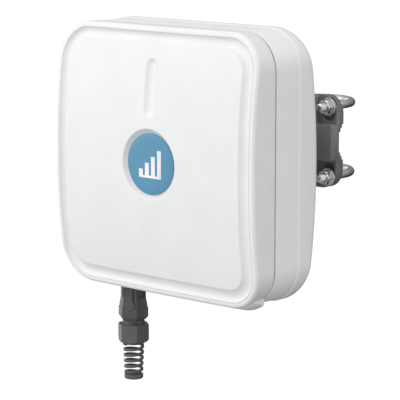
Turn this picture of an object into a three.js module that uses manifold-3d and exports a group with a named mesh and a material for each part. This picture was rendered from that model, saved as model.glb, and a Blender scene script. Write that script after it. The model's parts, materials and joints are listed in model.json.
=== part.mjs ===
// Pole-mounted flat-panel antenna. A square two-shell enclosure holds the radiating plates and the radio, with
// a cable gland and a spiral bend guard below it. A tilt-and-pan bracket joins it to a two-U-bolt pole clamp.
// Millimetres, +Z up, the antenna faces -Y, and the origin is on the pole's axis, midway between the U-bolts.

import * as THREE from 'three';
import { mergeVertices } from 'three/addons/utils/BufferGeometryUtils.js';
import Module from 'manifold-3d';

const wasm = await Module();
wasm.setup();

// ---------------------------------------------------------------- driving dimensions

const GAP = 0.3; // play between pieces that touch
const TOUCH = 0.1; // half of the play between faces that are clamped together
const BOLT_PLAY = 0.3; // radial play of a bolt in its hole

// enclosure outline, as half the side of a square, and the wall it is moulded with
const HALF = 125;
const CORNER = 37;
const WALL = 3;
const OUTLINE_CORNER_STEPS = 6;
const OUTLINE_SIDE_STEPS = 4;

// front cover: how far it stands forward of the seam at the corners, and how much its middle bulges
const COVER_DEPTH = 17.1;
const BULGE_Z = 12.9;
const BULGE_Z_POWER = 2.4;
const BULGE_X = 2.9;
const BULGE_X_POWER = 1.7;
const RIM_INSET = 1;
const SEAM_INSET = 1.7;
const CHANNEL_OUTER_INSET = 6.3;
const PANEL_INSET = 18.5;
const CHANNEL_DEPTH = 3.8;

// drip lip under the cover
const LIP_DROP = 4.3;
const LIP_DROP_FRONT = 1;
const LIP_LENGTH = 15.5;
const LIP_ANGLE = 48; // where it starts on the corner arcs, in degrees below the horizontal

// features of the front panel
const SLOT_WIDTH = 13;
const SLOT_HEIGHT = 53;
const SLOT_TOP_INSET = 30;
const SLOT_Z = HALF - SLOT_TOP_INSET - SLOT_HEIGHT / 2;
const SLOT_DEPTH = 2.6;
const BADGE_RADIUS = 28.5;
const BADGE_THICKNESS = 1.2;
const BADGE_Z = -1;
const BADGE_RECESS = 4.5;
const BADGE_MOUTH = 32.5;
const MARK_RELIEF = 0.4;
const MARK_BAR_WIDTH = 5;
const MARK_PITCH = 7.6;
const MARK_BARS = [8, 14, 20, 26]; // heights
const MARK_BASE = 2.4;
const MARK_BOTTOM = -13; // from the badge's middle

// seam
const GASKET_THICKNESS = 1.6;
const GASKET_RECESS = 1.7;

// back housing
const BACK_DEPTH = 48.5;
const STEP_TO_BACK = 17.1;
const STEP_Y = BACK_DEPTH - STEP_TO_BACK;
const STEP_INSET = 1;
const BACK_BULGE = 12.8;
const PAD_HALF = 46;
const PAD_RISE = 0.7;
const PAD_Y = BACK_DEPTH + BACK_BULGE + PAD_RISE;
const PAD_CORNER = 8;

// screws that join the shells
const COVER_SCREW_INSET = 25;
const COVER_SCREW_AT = HALF - COVER_SCREW_INSET;
const COVER_SCREW_RADIUS = 2;
const COVER_SCREW_HEAD = 3.8;
const COVER_SCREW_HEAD_HEIGHT = 3.2;
const COVER_SCREW_SEAT = STEP_Y - 1.4;
const COVER_SCREW_REACH = 14;
const COVER_POST_RADIUS = 6.5;
const HOUSING_POST_RADIUS = 7.5;

// inside: reflector, patches and radio
const REFLECTOR_MARGIN = 35; // from the outline
const REFLECTOR_HALF = HALF - REFLECTOR_MARGIN;
const REFLECTOR_THICKNESS = 2;
const REFLECTOR_Y = 9;
const REFLECTOR_POST_INSET = 12;
const REFLECTOR_POST_AT = REFLECTOR_HALF - REFLECTOR_POST_INSET;
const REFLECTOR_POST_RADIUS = 5;
const SMALL_SCREW_RADIUS = 1.5;
const SMALL_SCREW_HEAD = 2.9;
const SMALL_SCREW_HEAD_HEIGHT = 2;
const SMALL_SCREW_LENGTH = 10;
const DRIVEN_HALF = 42;
const PARASITIC_HALF = 36;
const PATCH_THICKNESS = 1;
const DRIVEN_GAP = 7;
const PARASITIC_GAP = 9;
const SPACER_RADIUS = 6;
const BOARD_WIDTH = 120;
const BOARD_HEIGHT = 90;
const BOARD_THICKNESS = 1.6;
const STANDOFF_LENGTH = 12;
const STANDOFF_RADIUS = 3;
const STANDOFF_INSET = 6;
const BOARD_HOLE_RADIUS = 1.6;
const SHIELD_HALF_WIDTH = 24;
const SHIELD_HALF_HEIGHT = 20;
const SHIELD_DEPTH = 4.8;
const SHIELD_X = 14;
const SHIELD_Z = 12;
const COAX_RADIUS = 1.3;
const COAX_HOLE_X = BOARD_WIDTH / 2 + 10;
const BOARD_Y = REFLECTOR_Y + REFLECTOR_THICKNESS + STANDOFF_LENGTH + GAP;
const JACK_WIDTH = 16;
const JACK_DEPTH = 13.4;
const JACK_HEIGHT = 21;

// cable gland: M20 body, dome nut 27 mm across flats
const GLAND_THREAD = 10;
const GLAND_INSET = 51.7;
const GLAND_X = -(HALF - GLAND_INSET);
const GLAND_FORWARD = 2.55; // of the middle of the housing's side
const GLAND_Y = (GASKET_THICKNESS + BACK_DEPTH) / 2 - GLAND_FORWARD;
const GLAND_TURN = -3.6; // degrees
const GLAND_PAD_DROP = 1; // below the enclosure's outline
const GLAND_PAD_Z = -(HALF + GLAND_PAD_DROP);
const GLAND_PAD_RADIUS = GLAND_THREAD + 5.5;
const GLAND_BORE = GLAND_THREAD - 3.1;
const GLAND_WASHER = 1.5;
const GLAND_BODY_TOP_AF = 2 * GLAND_THREAD + 2;
const GLAND_BODY_AF = 2 * GLAND_THREAD + 6;
const GLAND_BODY_LENGTH = 39;
const GLAND_BODY_NECK = 14; // length before it flares
const GLAND_BODY_BOTTOM = GLAND_PAD_Z - GLAND_BODY_LENGTH;
const GLAND_NUT_AF = 2 * GLAND_THREAD + 7;
const GLAND_NUT_GAP = 5.3; // thread left showing above the nut
const GLAND_NUT_TOP = GLAND_BODY_BOTTOM - GLAND_NUT_GAP;
const GLAND_NUT_HEIGHT = 17.6;
const GLAND_SOCKET_END = GLAND_NUT_TOP - 12.2;
const GLAND_INSIDE_END = GLAND_PAD_Z + 14;
const LOCKNUT_AF = 2 * GLAND_THREAD + 4;
const LOCKNUT_HEIGHT = 5;
const SEAL_RADIUS = GLAND_THREAD - 1.4;
const SEAL_TOP = GLAND_BODY_BOTTOM - 3;
const CLAW_GAP = 0.2;
const CLAW_HEIGHT = 3.6;
const CLAW_TOP = GLAND_SOCKET_END - 0.9;
const CLAW_BOTTOM = CLAW_TOP - CLAW_HEIGHT;
const TONGUE_TOP = GLAND_PAD_Z - 8;
const TONGUE_BULB = GLAND_PAD_Z - 24.5;
const TONGUE_WIDTH = 5.6;
const TONGUE_BULB_RADIUS = 5.4;
const CABLE_BORE = 4.2;
const GUARD_RADIUS_TOP = GLAND_THREAD + 0.2;
const GUARD_RADIUS_END = GLAND_THREAD - 1;
const GUARD_WIRE_RADIAL = 2.6;
const GUARD_WIRE_HEIGHT = 2.9;
const GUARD_TURNS = 5.5;
const GUARD_PITCH = 5.2;
const GUARD_RING_HEIGHT = 6.4;
const GUARD_NECK = 3.6;

// bracket between housing and clamp
const PLATE_HALF = 44;
const PLATE_THICKNESS = 6;
const PLATE_SCREW_AT = 34;
const PLATE_SCREW_RADIUS = 2.5;
const PLATE_SCREW_REACH = 14;
const PLATE_SCREW_HEAD = 4.4;
const PLATE_SCREW_HEAD_HEIGHT = 4;
const PLATE_BOSS_RADIUS = 7;
const JACK_LEFT = -(PLATE_SCREW_AT + PLATE_BOSS_RADIUS + 1 + JACK_WIDTH);
const TILT_AXIS = 35.5; // beyond the pad
const TILT_LUG_RADIUS = 16;
const LUG_THICKNESS = 8;
const ARM_WIDTH = 33.4;
const ARM_BAR_WIDTH = 24;
const ARM_FRONT_RADIUS = 15;
const ARM_REAR_RADIUS = 14;
const ARM_HEIGHT = 19.4;
const PAN_AXIS = 58.6; // forward of the pole
const PAN_LUG_RADIUS = 15;
const BOLT_RADIUS = 4; // M8, for the two bracket bolts and the U-bolts
const ARM_LENGTH = 55; // tilt axis to pan axis
const TILT_Y = PAD_Y + TILT_AXIS;
const LUG_IN = ARM_WIDTH / 2 + GAP;
const LUG_OUT = LUG_IN + LUG_THICKNESS;
const PLATE_FRONT = PAD_Y + 2 * TOUCH;
const GUSSET_REACH = 12;
const GUSSET_HEIGHT = 16;
const GUSSET_THICKNESS = 5;
const PAN_LUG_IN = ARM_HEIGHT / 2 + GAP;
const PAN_LUG_OUT = PAN_LUG_IN + LUG_THICKNESS;
const POLE_TO_SEAM = TILT_Y + ARM_LENGTH + PAN_AXIS; // pole axis to the joint between the two shells

// pole clamp
const U_BOLT_BEND = 33.5;
const U_BOLT_Z = 34.7;
const U_BOLT_TAIL = 7.6; // thread beyond the nut
const WASHER_RADIUS = 9;
const WASHER_THICKNESS = 1.6;
const JAW_HALF_WIDTH = U_BOLT_BEND + 10;
const JAW_HALF_HEIGHT = U_BOLT_Z + 11.3;
const JAW_CORNER = 18;
const JAW_REAR = 13.4; // forward of the pole axis
const JAW_EAR_THICKNESS = 10.7;
const JAW_BLOCK_THICKNESS = 19.7;
const JAW_SPINE_HALF_WIDTH = U_BOLT_BEND - WASHER_RADIUS - 2.5;
const POLE_GROOVE_HALF = U_BOLT_BEND - 2.5;
const POLE_GROOVE_FLOOR = 10;
const POLE_GROOVE_DEPTH = 14.6;
const POLE_GROOVE_TEETH = 5;
const CROSS_GROOVE_HALF = 18;
const CROSS_GROOVE_FLOOR = 7;
const CROSS_GROOVE_DEPTH = 6.6;
const CROSS_GROOVE_TEETH = 3;

// M8 hardware
const NUT_AF = 13;
const NUT_HEIGHT = 6.5;
const HEAD_HEIGHT = 5.3;
const BOLT_TAIL = 3; // thread beyond the nut of a bracket bolt
const EAR_FRONT = -JAW_REAR - JAW_EAR_THICKNESS;
const CLAMP_NUT_BACK = EAR_FRONT - WASHER_THICKNESS - 2 * TOUCH;
const U_BOLT_END = CLAMP_NUT_BACK - NUT_HEIGHT - U_BOLT_TAIL;

const ROUND = 24;
const ROUND_SMALL = 10;

// ---------------------------------------------------------------- materials

const finish = (color, roughness, metalness = 0) =>
  new THREE.MeshStandardMaterial({ color, roughness, metalness });
const whitePlastic = finish(0xeceded, 0.45);
const bluePlastic = finish(0x3f8fbe, 0.4);
const markPlastic = finish(0xf4f6f7, 0.45);
const darkPlastic = finish(0x3b3c3e, 0.6);
const jawPlastic = finish(0x4b4c4e, 0.65);
const rubber = finish(0x1d1d1e, 0.85);
const zinc = finish(0xb9bcc0, 0.35, 0.9);
const aluminium = finish(0xc3c6c9, 0.4, 0.9);
const brass = finish(0xb99a4e, 0.4, 0.9);
const boardLacquer = finish(0x1f5a38, 0.5);

// ---------------------------------------------------------------- mesh helpers

function soldered(geometry) {
  const bare = geometry.clone();
  bare.deleteAttribute('normal');
  bare.deleteAttribute('uv');
  const merged = mergeVertices(bare, 1e-4);
  const index = merged.index.array;
  const kept = [];
  for (let i = 0; i < index.length; i += 3) {
    const [a, b, c] = [index[i], index[i + 1], index[i + 2]];
    if (a !== b && b !== c && c !== a) {
      kept.push(a, b, c);
    }
  }
  merged.setIndex(kept);
  return merged;
}

function solid(geometry) {
  const mesh = soldered(geometry);
  return new wasm.Manifold(new wasm.Mesh({
    numProp: 3,
    vertProperties: new Float32Array(mesh.attributes.position.array),
    triVerts: new Uint32Array(mesh.index.array),
  }));
}

function union(first, ...others) {
  return others.reduce((sum, next) => sum.add(next), first);
}

function cut(first, ...others) {
  return others.reduce((rest, next) => rest.subtract(next), first);
}

function surface(body) {
  const mesh = body.getMesh();
  const geometry = new THREE.BufferGeometry();
  geometry.setAttribute('position', new THREE.BufferAttribute(mesh.vertProperties, 3));
  geometry.setIndex(new THREE.BufferAttribute(mesh.triVerts, 1));
  geometry.computeVertexNormals();
  return geometry;
}

function piece(parent, name, body, material) {
  const geometry = body.isBufferGeometry ? body : surface(body);
  const mesh = new THREE.Mesh(geometry, material);
  mesh.name = name;
  parent.add(mesh);
  return mesh;
}

// Skin over a row of rings that all have the same number of points. A ring of one point closes an end.
function loft(rings) {
  const points = rings.flat();
  const positions = new Float32Array(points.flatMap((p) => [p.x, p.y, p.z]));
  const starts = rings.map((_, i) => rings.slice(0, i).reduce((n, ring) => n + ring.length, 0));
  const index = [];
  for (let r = 0; r + 1 < rings.length; r += 1) {
    const count = Math.max(rings[r].length, rings[r + 1].length);
    for (let i = 0; i < count; i += 1) {
      const j = (i + 1) % count;
      const at = (ring, k) => starts[ring] + (rings[ring].length === 1 ? 0 : k);
      if (rings[r].length > 1) {
        index.push(at(r, i), at(r + 1, i), at(r, j));
      }
      if (rings[r + 1].length > 1) {
        index.push(at(r, j), at(r + 1, i), at(r + 1, j));
      }
    }
  }
  const geometry = new THREE.BufferGeometry();
  geometry.setAttribute('position', new THREE.BufferAttribute(positions, 3));
  geometry.setIndex(facingOut(positions, index));
  return geometry;
}

function facingOut(positions, index) {
  const at = (i) => new THREE.Vector3().fromArray(positions, 3 * i);
  let volume = 0;
  for (let i = 0; i < index.length; i += 3) {
    volume += at(index[i]).dot(at(index[i + 1]).cross(at(index[i + 2])));
  }
  if (volume < 0) {
    index.reverse();
  }
  return index;
}

// ---------------------------------------------------------------- plain shapes

function box(x0, x1, y0, y1, z0, z1) {
  const geometry = new THREE.BoxGeometry(x1 - x0, y1 - y0, z1 - z0);
  return solid(geometry.translate((x0 + x1) / 2, (y0 + y1) / 2, (z0 + z1) / 2));
}

// Round bar along an axis, from one coordinate to another, through a point in the other two (x, y, z order).
function bar(axis, radius, from, to, u = 0, v = 0, sides = ROUND, endRadius = radius) {
  const geometry = new THREE.CylinderGeometry(endRadius, radius, to - from, sides);
  const middle = (from + to) / 2;
  if (axis === 'x') {
    geometry.rotateZ(-Math.PI / 2).translate(middle, u, v);
  } else if (axis === 'y') {
    geometry.translate(u, middle, v);
  } else {
    geometry.rotateX(Math.PI / 2).translate(u, v, middle);
  }
  return solid(geometry);
}

// Cutter for a round hole; its flats, not its corners, touch the stated radius.
function hole(axis, radius, from, to, u = 0, v = 0, sides = ROUND_SMALL) {
  return bar(axis, radius / Math.cos(Math.PI / sides), from, to, u, v, sides);
}

// Hexagonal bar: its across-flats width at each end, and the turn of its corners in degrees.
function hexBar(axis, acrossFlats, from, to, u = 0, v = 0, turn = 0, endAcrossFlats = acrossFlats) {
  const corner = 1 / Math.sqrt(3);
  const geometry = new THREE.CylinderGeometry(endAcrossFlats * corner, acrossFlats * corner, to - from, 6);
  geometry.rotateY(THREE.MathUtils.degToRad(turn));
  const middle = (from + to) / 2;
  if (axis === 'x') {
    geometry.rotateZ(-Math.PI / 2).translate(middle, u, v);
  } else if (axis === 'y') {
    geometry.translate(u, middle, v);
  } else {
    geometry.rotateX(Math.PI / 2).translate(u, v, middle);
  }
  return solid(geometry);
}

function roundedSquare(halfX, halfZ, corner) {
  const shape = new THREE.Shape();
  shape.moveTo(halfX, -halfZ + corner);
  shape.lineTo(halfX, halfZ - corner);
  shape.absarc(halfX - corner, halfZ - corner, corner, 0, Math.PI / 2);
  shape.lineTo(-halfX + corner, halfZ);
  shape.absarc(-halfX + corner, halfZ - corner, corner, Math.PI / 2, Math.PI);
  shape.lineTo(-halfX, -halfZ + corner);
  shape.absarc(-halfX + corner, -halfZ + corner, corner, Math.PI, 1.5 * Math.PI);
  shape.lineTo(halfX - corner, -halfZ);
  shape.absarc(halfX - corner, -halfZ + corner, corner, 1.5 * Math.PI, 2 * Math.PI);
  return shape;
}

// Slab with a rounded outline seen along Y, between two depths.
function slab(halfX, halfZ, corner, y0, y1, curveSegments = 5) {
  const geometry = new THREE.ExtrudeGeometry(roundedSquare(halfX, halfZ, corner), {
    depth: y1 - y0,
    bevelEnabled: false,
    curveSegments,
  });
  return solid(geometry.rotateX(Math.PI / 2).translate(0, y1, 0));
}

// Body of revolution about a vertical axis through (x, y). Its profile is [radius, z] pairs.
function turned(profile, x, y, sides = ROUND) {
  const points = [...profile, profile[0]].map(([r, z]) => new THREE.Vector2(r, z));
  const geometry = new THREE.LatheGeometry(points, sides).rotateX(Math.PI / 2);
  return solid(facingOutside(geometry.translate(x, y, 0)));
}

function facingOutside(geometry) {
  const mesh = soldered(geometry);
  mesh.setIndex(facingOut(mesh.attributes.position.array, [...mesh.index.array]));
  return mesh;
}

// Tube of a round section along a curve.
function tube(curve, radius, steps, sides = 8) {
  const section = new THREE.Shape();
  for (let i = 0; i < sides; i += 1) {
    const angle = (2 * Math.PI * i) / sides;
    const [u, v] = [radius * Math.cos(angle), radius * Math.sin(angle)];
    if (i === 0) {
      section.moveTo(u, v);
    } else {
      section.lineTo(u, v);
    }
  }
  return solid(new THREE.ExtrudeGeometry(section, { extrudePath: curve, steps, bevelEnabled: false }));
}

// ---------------------------------------------------------------- enclosure surfaces

// Ring round the enclosure's outline, with the depth given by a function of x and z.
function outline(inset, depth, corner = CORNER - inset) {
  const half = HALF - inset;
  const ring = [];
  const quarter = Math.PI / 2;
  for (let side = 0; side < 4; side += 1) {
    const [sx, sz] = [[1, 1], [-1, 1], [-1, -1], [1, -1]][side];
    for (let i = 0; i <= OUTLINE_CORNER_STEPS; i += 1) {
      const angle = side * quarter + (quarter * i) / OUTLINE_CORNER_STEPS;
      const x = sx * (half - corner) + corner * Math.cos(angle);
      const z = sz * (half - corner) + corner * Math.sin(angle);
      ring.push(new THREE.Vector3(x, 0, z));
    }
    const last = ring[ring.length - 1];
    const [nx, nz] = [[-1, 1], [-1, -1], [1, -1], [1, 1]][side];
    const nextAngle = (side + 1) * quarter;
    const next = new THREE.Vector3(
      nx * (half - corner) + corner * Math.cos(nextAngle),
      0,
      nz * (half - corner) + corner * Math.sin(nextAngle),
    );
    for (let i = 1; i < OUTLINE_SIDE_STEPS; i += 1) {
      ring.push(last.clone().lerp(next, i / OUTLINE_SIDE_STEPS));
    }
  }
  for (const point of ring) {
    point.y = depth(point.x, point.z);
  }
  return ring;
}

function coverFront(x, z) {
  const riseZ = BULGE_Z * (1 - (Math.abs(z) / HALF) ** BULGE_Z_POWER);
  const riseX = BULGE_X * (1 - (Math.abs(x) / HALF) ** BULGE_X_POWER);
  return -(COVER_DEPTH + riseZ + riseX);
}

function housingBack(x, z) {
  return BACK_DEPTH + BACK_BULGE * (1 - (z / HALF) ** 2);
}

const behindFront = (drop) => (x, z) => coverFront(x, z) + drop;
const behindBack = (drop) => (x, z) => housingBack(x, z) - drop;
const flat = (y) => () => y;
const middle = (depth) => [new THREE.Vector3(0, depth(0, 0), 0)];

// Rings of the flattish field inside an inset, towards the middle.
function field(inset, depth, steps) {
  const rings = [];
  for (let i = 0; i < steps; i += 1) {
    const share = 1 - i / steps;
    rings.push(outline(HALF - (HALF - inset) * share, depth, (CORNER - inset) * share));
  }
  return [...rings, middle(depth)];
}

// ---------------------------------------------------------------- front cover

// Rim of the cover from the channel outwards, and the rounded edge of the housing's back, as
// [inset, drop behind the surface].
const RIM_PROFILE = [
  [CHANNEL_OUTER_INSET, 0.3],
  [RIM_INSET + 1.8, -0.1],
  [RIM_INSET + 0.5, 1],
  [RIM_INSET, 3.2],
];
const BACK_ROUNDING = [[2.4, 2.6], [0, 9]];

function coverShell() {
  const channel = [0.96, 0.7, 0.3, 0.04].map((share) => {
    const inset = THREE.MathUtils.lerp(CHANNEL_OUTER_INSET, PANEL_INSET, share);
    const drop = CHANNEL_DEPTH * Math.sqrt(1 - (2 * share - 1) ** 2);
    return outline(inset, behindFront(drop));
  });
  const inner = SEAM_INSET + WALL;
  const behindChannel = CHANNEL_DEPTH + WALL;
  return solid(loft([
    ...field(PANEL_INSET, behindFront(0), 3).reverse(),
    ...channel,
    ...RIM_PROFILE.map(([inset, drop]) => outline(inset, behindFront(drop))),
    outline(SEAM_INSET, flat(0)),
    outline(inner, flat(0)),
    outline(inner, behindFront(behindChannel + 1.5)),
    outline(inner + 3, behindFront(behindChannel)),
    outline(PANEL_INSET + 1, behindFront(behindChannel)),
    ...field(PANEL_INSET + WALL + 1, behindFront(WALL), 2),
  ]));
}

// Lip that follows the outline round the bottom, deepening towards the seam.
function dripLip() {
  const start = THREE.MathUtils.degToRad(LIP_ANGLE);
  const centre = HALF - CORNER;
  const bottomAngle = (p) => Math.atan2(-p.z - centre, Math.abs(p.x) - centre);
  const bottom = outline(SEAM_INSET, flat(0)).filter((p) => p.z < -centre && bottomAngle(p) > start);
  const sections = bottom.sort((a, b) => b.x - a.x).map((p) => {
    const corner = new THREE.Vector3(THREE.MathUtils.clamp(p.x, -centre, centre), 0, -centre);
    const out = p.clone().sub(corner).normalize();
    const at = (offset, y) => p.clone().addScaledVector(out, offset).setY(y);
    return [
      at(-WALL / 2, -LIP_LENGTH),
      at(LIP_DROP_FRONT, -LIP_LENGTH),
      at(LIP_DROP - 0.8, -0.8),
      at(LIP_DROP - 1.2, 0),
      at(-WALL / 2, 0),
    ];
  });
  return solid(loft([centred(sections[0]), ...sections, centred(sections[sections.length - 1])]));
}

// The middle of a ring, as a ring of one point that closes a loft.
function centred(ring) {
  return [ring.reduce((sum, p) => sum.add(p), new THREE.Vector3()).divideScalar(ring.length)];
}

// Upright bar with round ends behind the slot.
function stadium(halfWidth, halfHeight, y0, y1) {
  return slab(halfWidth, halfHeight, halfWidth - 0.01, y0, y1, 6).translate([0, 0, SLOT_Z]);
}

function slotCutter() {
  const front = coverFront(0, SLOT_Z);
  const reach = (SLOT_HEIGHT - SLOT_WIDTH) / 2;
  const radius = ((SLOT_WIDTH / 2) ** 2 + SLOT_DEPTH ** 2) / (2 * SLOT_DEPTH);
  const slope = (coverFront(0, SLOT_Z + reach) - coverFront(0, SLOT_Z - reach)) / (2 * reach);
  const angle = Math.atan(slope);
  const y = front + SLOT_DEPTH - radius;
  const trunk = new THREE.CylinderGeometry(radius, radius, 2 * reach, 40);
  const round = (z) => new THREE.SphereGeometry(radius, 40, 20).translate(0, z, 0);
  const parts = [trunk, round(reach), round(-reach)].map((g) =>
    solid(g.rotateX(Math.PI / 2).rotateX(-angle).translate(0, y, SLOT_Z)));
  return union(...parts);
}

function frontCover() {
  const badgeFront = coverFront(0, BADGE_Z);
  const badgeFloor = badgeFront + BADGE_RECESS;
  const slotFront = coverFront(0, SLOT_Z);
  const [slotBackingX, slotBackingZ] = [SLOT_WIDTH / 2 + 2, SLOT_HEIGHT / 2 + 2];
  const backing = union(
    bar('y', BADGE_MOUTH + 2, badgeFloor - 1, badgeFloor + WALL, 0, BADGE_Z),
    stadium(slotBackingX, slotBackingZ, slotFront + WALL + 0.5, slotFront + WALL + SLOT_DEPTH),
  );
  let shell = union(coverShell(), dripLip(), backing);
  for (const [x, z] of corners(COVER_SCREW_AT)) {
    const root = coverFront(x, z) + 1.5;
    shell = shell.add(bar('y', COVER_POST_RADIUS, root, 0, x, z, 16));
    shell = shell.subtract(hole('y', COVER_SCREW_RADIUS + BOLT_PLAY, -COVER_SCREW_REACH - 1, 1, x, z));
  }
  const mouth = bar('y', BADGE_MOUTH, badgeFront - 1, badgeFloor, 0, BADGE_Z, 48, BADGE_RADIUS + GAP);
  return cut(shell, mouth, slotCutter());
}

function corners(at) {
  return [[at, at], [-at, at], [-at, -at], [at, -at]];
}

// Generic badge: a disc with rising bars on a base line.
const BADGE_BACK = coverFront(0, BADGE_Z) + BADGE_RECESS - GAP;

function badgeDisc() {
  return bar('y', BADGE_RADIUS, BADGE_BACK - BADGE_THICKNESS, BADGE_BACK, 0, BADGE_Z, 48);
}

function badgeMark() {
  const back = BADGE_BACK - BADGE_THICKNESS - TOUCH;
  const bottom = BADGE_Z + MARK_BOTTOM;
  const left = -((MARK_BARS.length - 1) * MARK_PITCH + MARK_BAR_WIDTH) / 2;
  const base = box(left, -left, back - MARK_RELIEF, back, bottom, bottom + MARK_BASE);
  const bars = MARK_BARS.map((height, i) => {
    const x = left + i * MARK_PITCH;
    return box(x, x + MARK_BAR_WIDTH, back - MARK_RELIEF, back, bottom, bottom + height);
  });
  return union(base, ...bars);
}

// ---------------------------------------------------------------- seam gasket and back housing

function gasket() {
  const outer = SEAM_INSET + GASKET_RECESS;
  const inner = SEAM_INSET + WALL + 1;
  const [front, back] = [TOUCH, GASKET_THICKNESS - TOUCH];
  const ring = (inset, y) => outline(inset, flat(y));
  const rings = [ring(outer, front), ring(outer, back), ring(inner, back), ring(inner, front)];
  return solid(loft([...rings, rings[0]]));
}

function housingShell() {
  const inner = STEP_INSET + WALL;
  return solid(loft([
    ...field(8, behindBack(GAP), 3).reverse(),
    ...BACK_ROUNDING.map(([inset, drop]) => outline(inset, behindBack(drop))),
    outline(0, flat(STEP_Y + 1.2)),
    outline(STEP_INSET, flat(STEP_Y)),
    outline(SEAM_INSET, flat(GASKET_THICKNESS)),
    outline(SEAM_INSET + WALL, flat(GASKET_THICKNESS)),
    outline(inner, flat(STEP_Y)),
    outline(inner, behindBack(10)),
    outline(inner + 5, behindBack(WALL + 1)),
    ...field(30, behindBack(WALL + GAP), 2),
  ]));
}

function backHousing() {
  const start = GASKET_THICKNESS;
  let shell = housingShell();
  shell = shell.add(slab(PAD_HALF, PAD_HALF, PAD_CORNER, PAD_Y - 7, PAD_Y));
  for (const [x, z] of corners(COVER_SCREW_AT)) {
    const back = housingBack(x, z);
    shell = shell.add(bar('y', HOUSING_POST_RADIUS, start, back - 1, x, z, 16));
    shell = shell.subtract(hole('y', COVER_SCREW_RADIUS + BOLT_PLAY, start - 1, back, x, z));
    shell = shell.subtract(bar('y', COVER_SCREW_HEAD + 1, COVER_SCREW_SEAT, back + 5, x, z, 16));
  }
  for (const [x, z] of corners(REFLECTOR_POST_AT)) {
    const seat = REFLECTOR_Y + REFLECTOR_THICKNESS + TOUCH;
    const bottom = seat + SMALL_SCREW_LENGTH;
    shell = shell.add(bar('y', REFLECTOR_POST_RADIUS, seat, housingBack(x, z) - WALL / 2, x, z, ROUND_SMALL));
    shell = shell.subtract(hole('y', SMALL_SCREW_RADIUS + BOLT_PLAY, seat - 1, bottom, x, z));
  }
  for (const [x, z] of corners(PLATE_SCREW_AT)) {
    const reach = PAD_Y - PLATE_SCREW_REACH - 1;
    shell = shell.add(bar('y', PLATE_BOSS_RADIUS, reach - 2, PAD_Y - 1, x, z, 16));
    shell = shell.subtract(hole('y', PLATE_SCREW_RADIUS + BOLT_PLAY, reach, PAD_Y + 1, x, z));
  }
  const floor = -(HALF - STEP_INSET - WALL) + 0.5;
  const glandHole = GLAND_THREAD + BOLT_PLAY;
  shell = shell.add(bar('z', GLAND_PAD_RADIUS, GLAND_PAD_Z, floor, GLAND_X, GLAND_Y));
  return shell.subtract(hole('z', glandHole, GLAND_PAD_Z - 1, floor + 3, GLAND_X, GLAND_Y, ROUND));
}

// ---------------------------------------------------------------- screws, nuts and washers

// Socket-head screw along Y. Its head's underside is at y, and its shank runs forward (-1) or back (+1).
function screw(x, y, z, [radius, headRadius, headHeight], length, direction) {
  const tip = y + direction * length;
  const top = y - direction * headHeight;
  const shank = bar('y', radius, Math.min(y, tip), Math.max(y, tip), x, z, ROUND_SMALL);
  const head = bar('y', headRadius, Math.min(y, top), Math.max(y, top), x, z, 16);
  const socketFloor = top + direction * headHeight * 0.55;
  const [low, high] = [Math.min(top - direction, socketFloor), Math.max(top - direction, socketFloor)];
  return cut(union(shank, head), hexBar('y', headRadius * 0.8, low, high, x, z));
}

function hexNut(axis, from, to, u, v, turn) {
  const bore = hole(axis, BOLT_RADIUS + BOLT_PLAY / 2, from - 1, to + 1, u, v);
  return hexBar(axis, NUT_AF, from, to, u, v, turn).subtract(bore);
}

function washer(axis, from, to, u, v) {
  const disc = bar(axis, WASHER_RADIUS, from, to, u, v, 20);
  return disc.subtract(hole(axis, BOLT_RADIUS + BOLT_PLAY, from - 1, to + 1, u, v));
}

// ---------------------------------------------------------------- inside the enclosure

function reflectorPlate() {
  let plate = slab(REFLECTOR_HALF, REFLECTOR_HALF, 6, REFLECTOR_Y, REFLECTOR_Y + REFLECTOR_THICKNESS);
  for (const [x, z] of corners(REFLECTOR_POST_AT)) {
    plate = plate.subtract(hole('y', SMALL_SCREW_RADIUS + BOLT_PLAY, 0, 30, x, z));
  }
  for (const x of [-1, 1]) {
    plate = plate.subtract(bar('y', COAX_RADIUS + 2, 0, 30, x * COAX_HOLE_X, 0, ROUND_SMALL));
  }
  return plate;
}

// Radiating plate on the central spacer, with its back face at a depth.
function patch(half, back) {
  const plate = slab(half, half, 3, back - PATCH_THICKNESS, back, 2);
  return plate.subtract(hole('y', SPACER_RADIUS / 2 + BOLT_PLAY, back - 5, back + 5));
}

function boardShield() {
  const front = BOARD_Y + BOARD_THICKNESS + 2 * TOUCH;
  const can = slab(SHIELD_HALF_WIDTH, SHIELD_HALF_HEIGHT, 2, front, front + SHIELD_DEPTH, 2);
  return can.translate([SHIELD_X, 0, SHIELD_Z]);
}

function pigtail(side) {
  const patchBack = REFLECTOR_Y - DRIVEN_GAP + COAX_RADIUS + 0.2;
  const boardFront = BOARD_Y - COAX_RADIUS - 0.2;
  const route = new THREE.CatmullRomCurve3([
    new THREE.Vector3(side * (DRIVEN_HALF - 6), patchBack, 0),
    new THREE.Vector3(side * (DRIVEN_HALF + 8), patchBack, 0),
    new THREE.Vector3(side * (COAX_HOLE_X - 6), patchBack + 1, 0),
    new THREE.Vector3(side * COAX_HOLE_X, (patchBack + boardFront) / 2, 0),
    new THREE.Vector3(side * (COAX_HOLE_X - 6), boardFront - 1, 0),
    new THREE.Vector3(side * (BOARD_WIDTH / 2 - 4), boardFront, 0),
    new THREE.Vector3(side * (BOARD_WIDTH / 2 - 14), boardFront, 0),
  ]);
  return tube(route, COAX_RADIUS, 16, 6);
}

function radioBoard() {
  const [halfX, halfZ] = [BOARD_WIDTH / 2, BOARD_HEIGHT / 2];
  let board = box(-halfX, halfX, BOARD_Y, BOARD_Y + BOARD_THICKNESS, -halfZ, halfZ);
  for (const [x, z] of standoffPlaces()) {
    board = board.subtract(bar('y', BOARD_HOLE_RADIUS, BOARD_Y - 1, BOARD_Y + 5, x, z, ROUND_SMALL));
  }
  return board;
}

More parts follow.
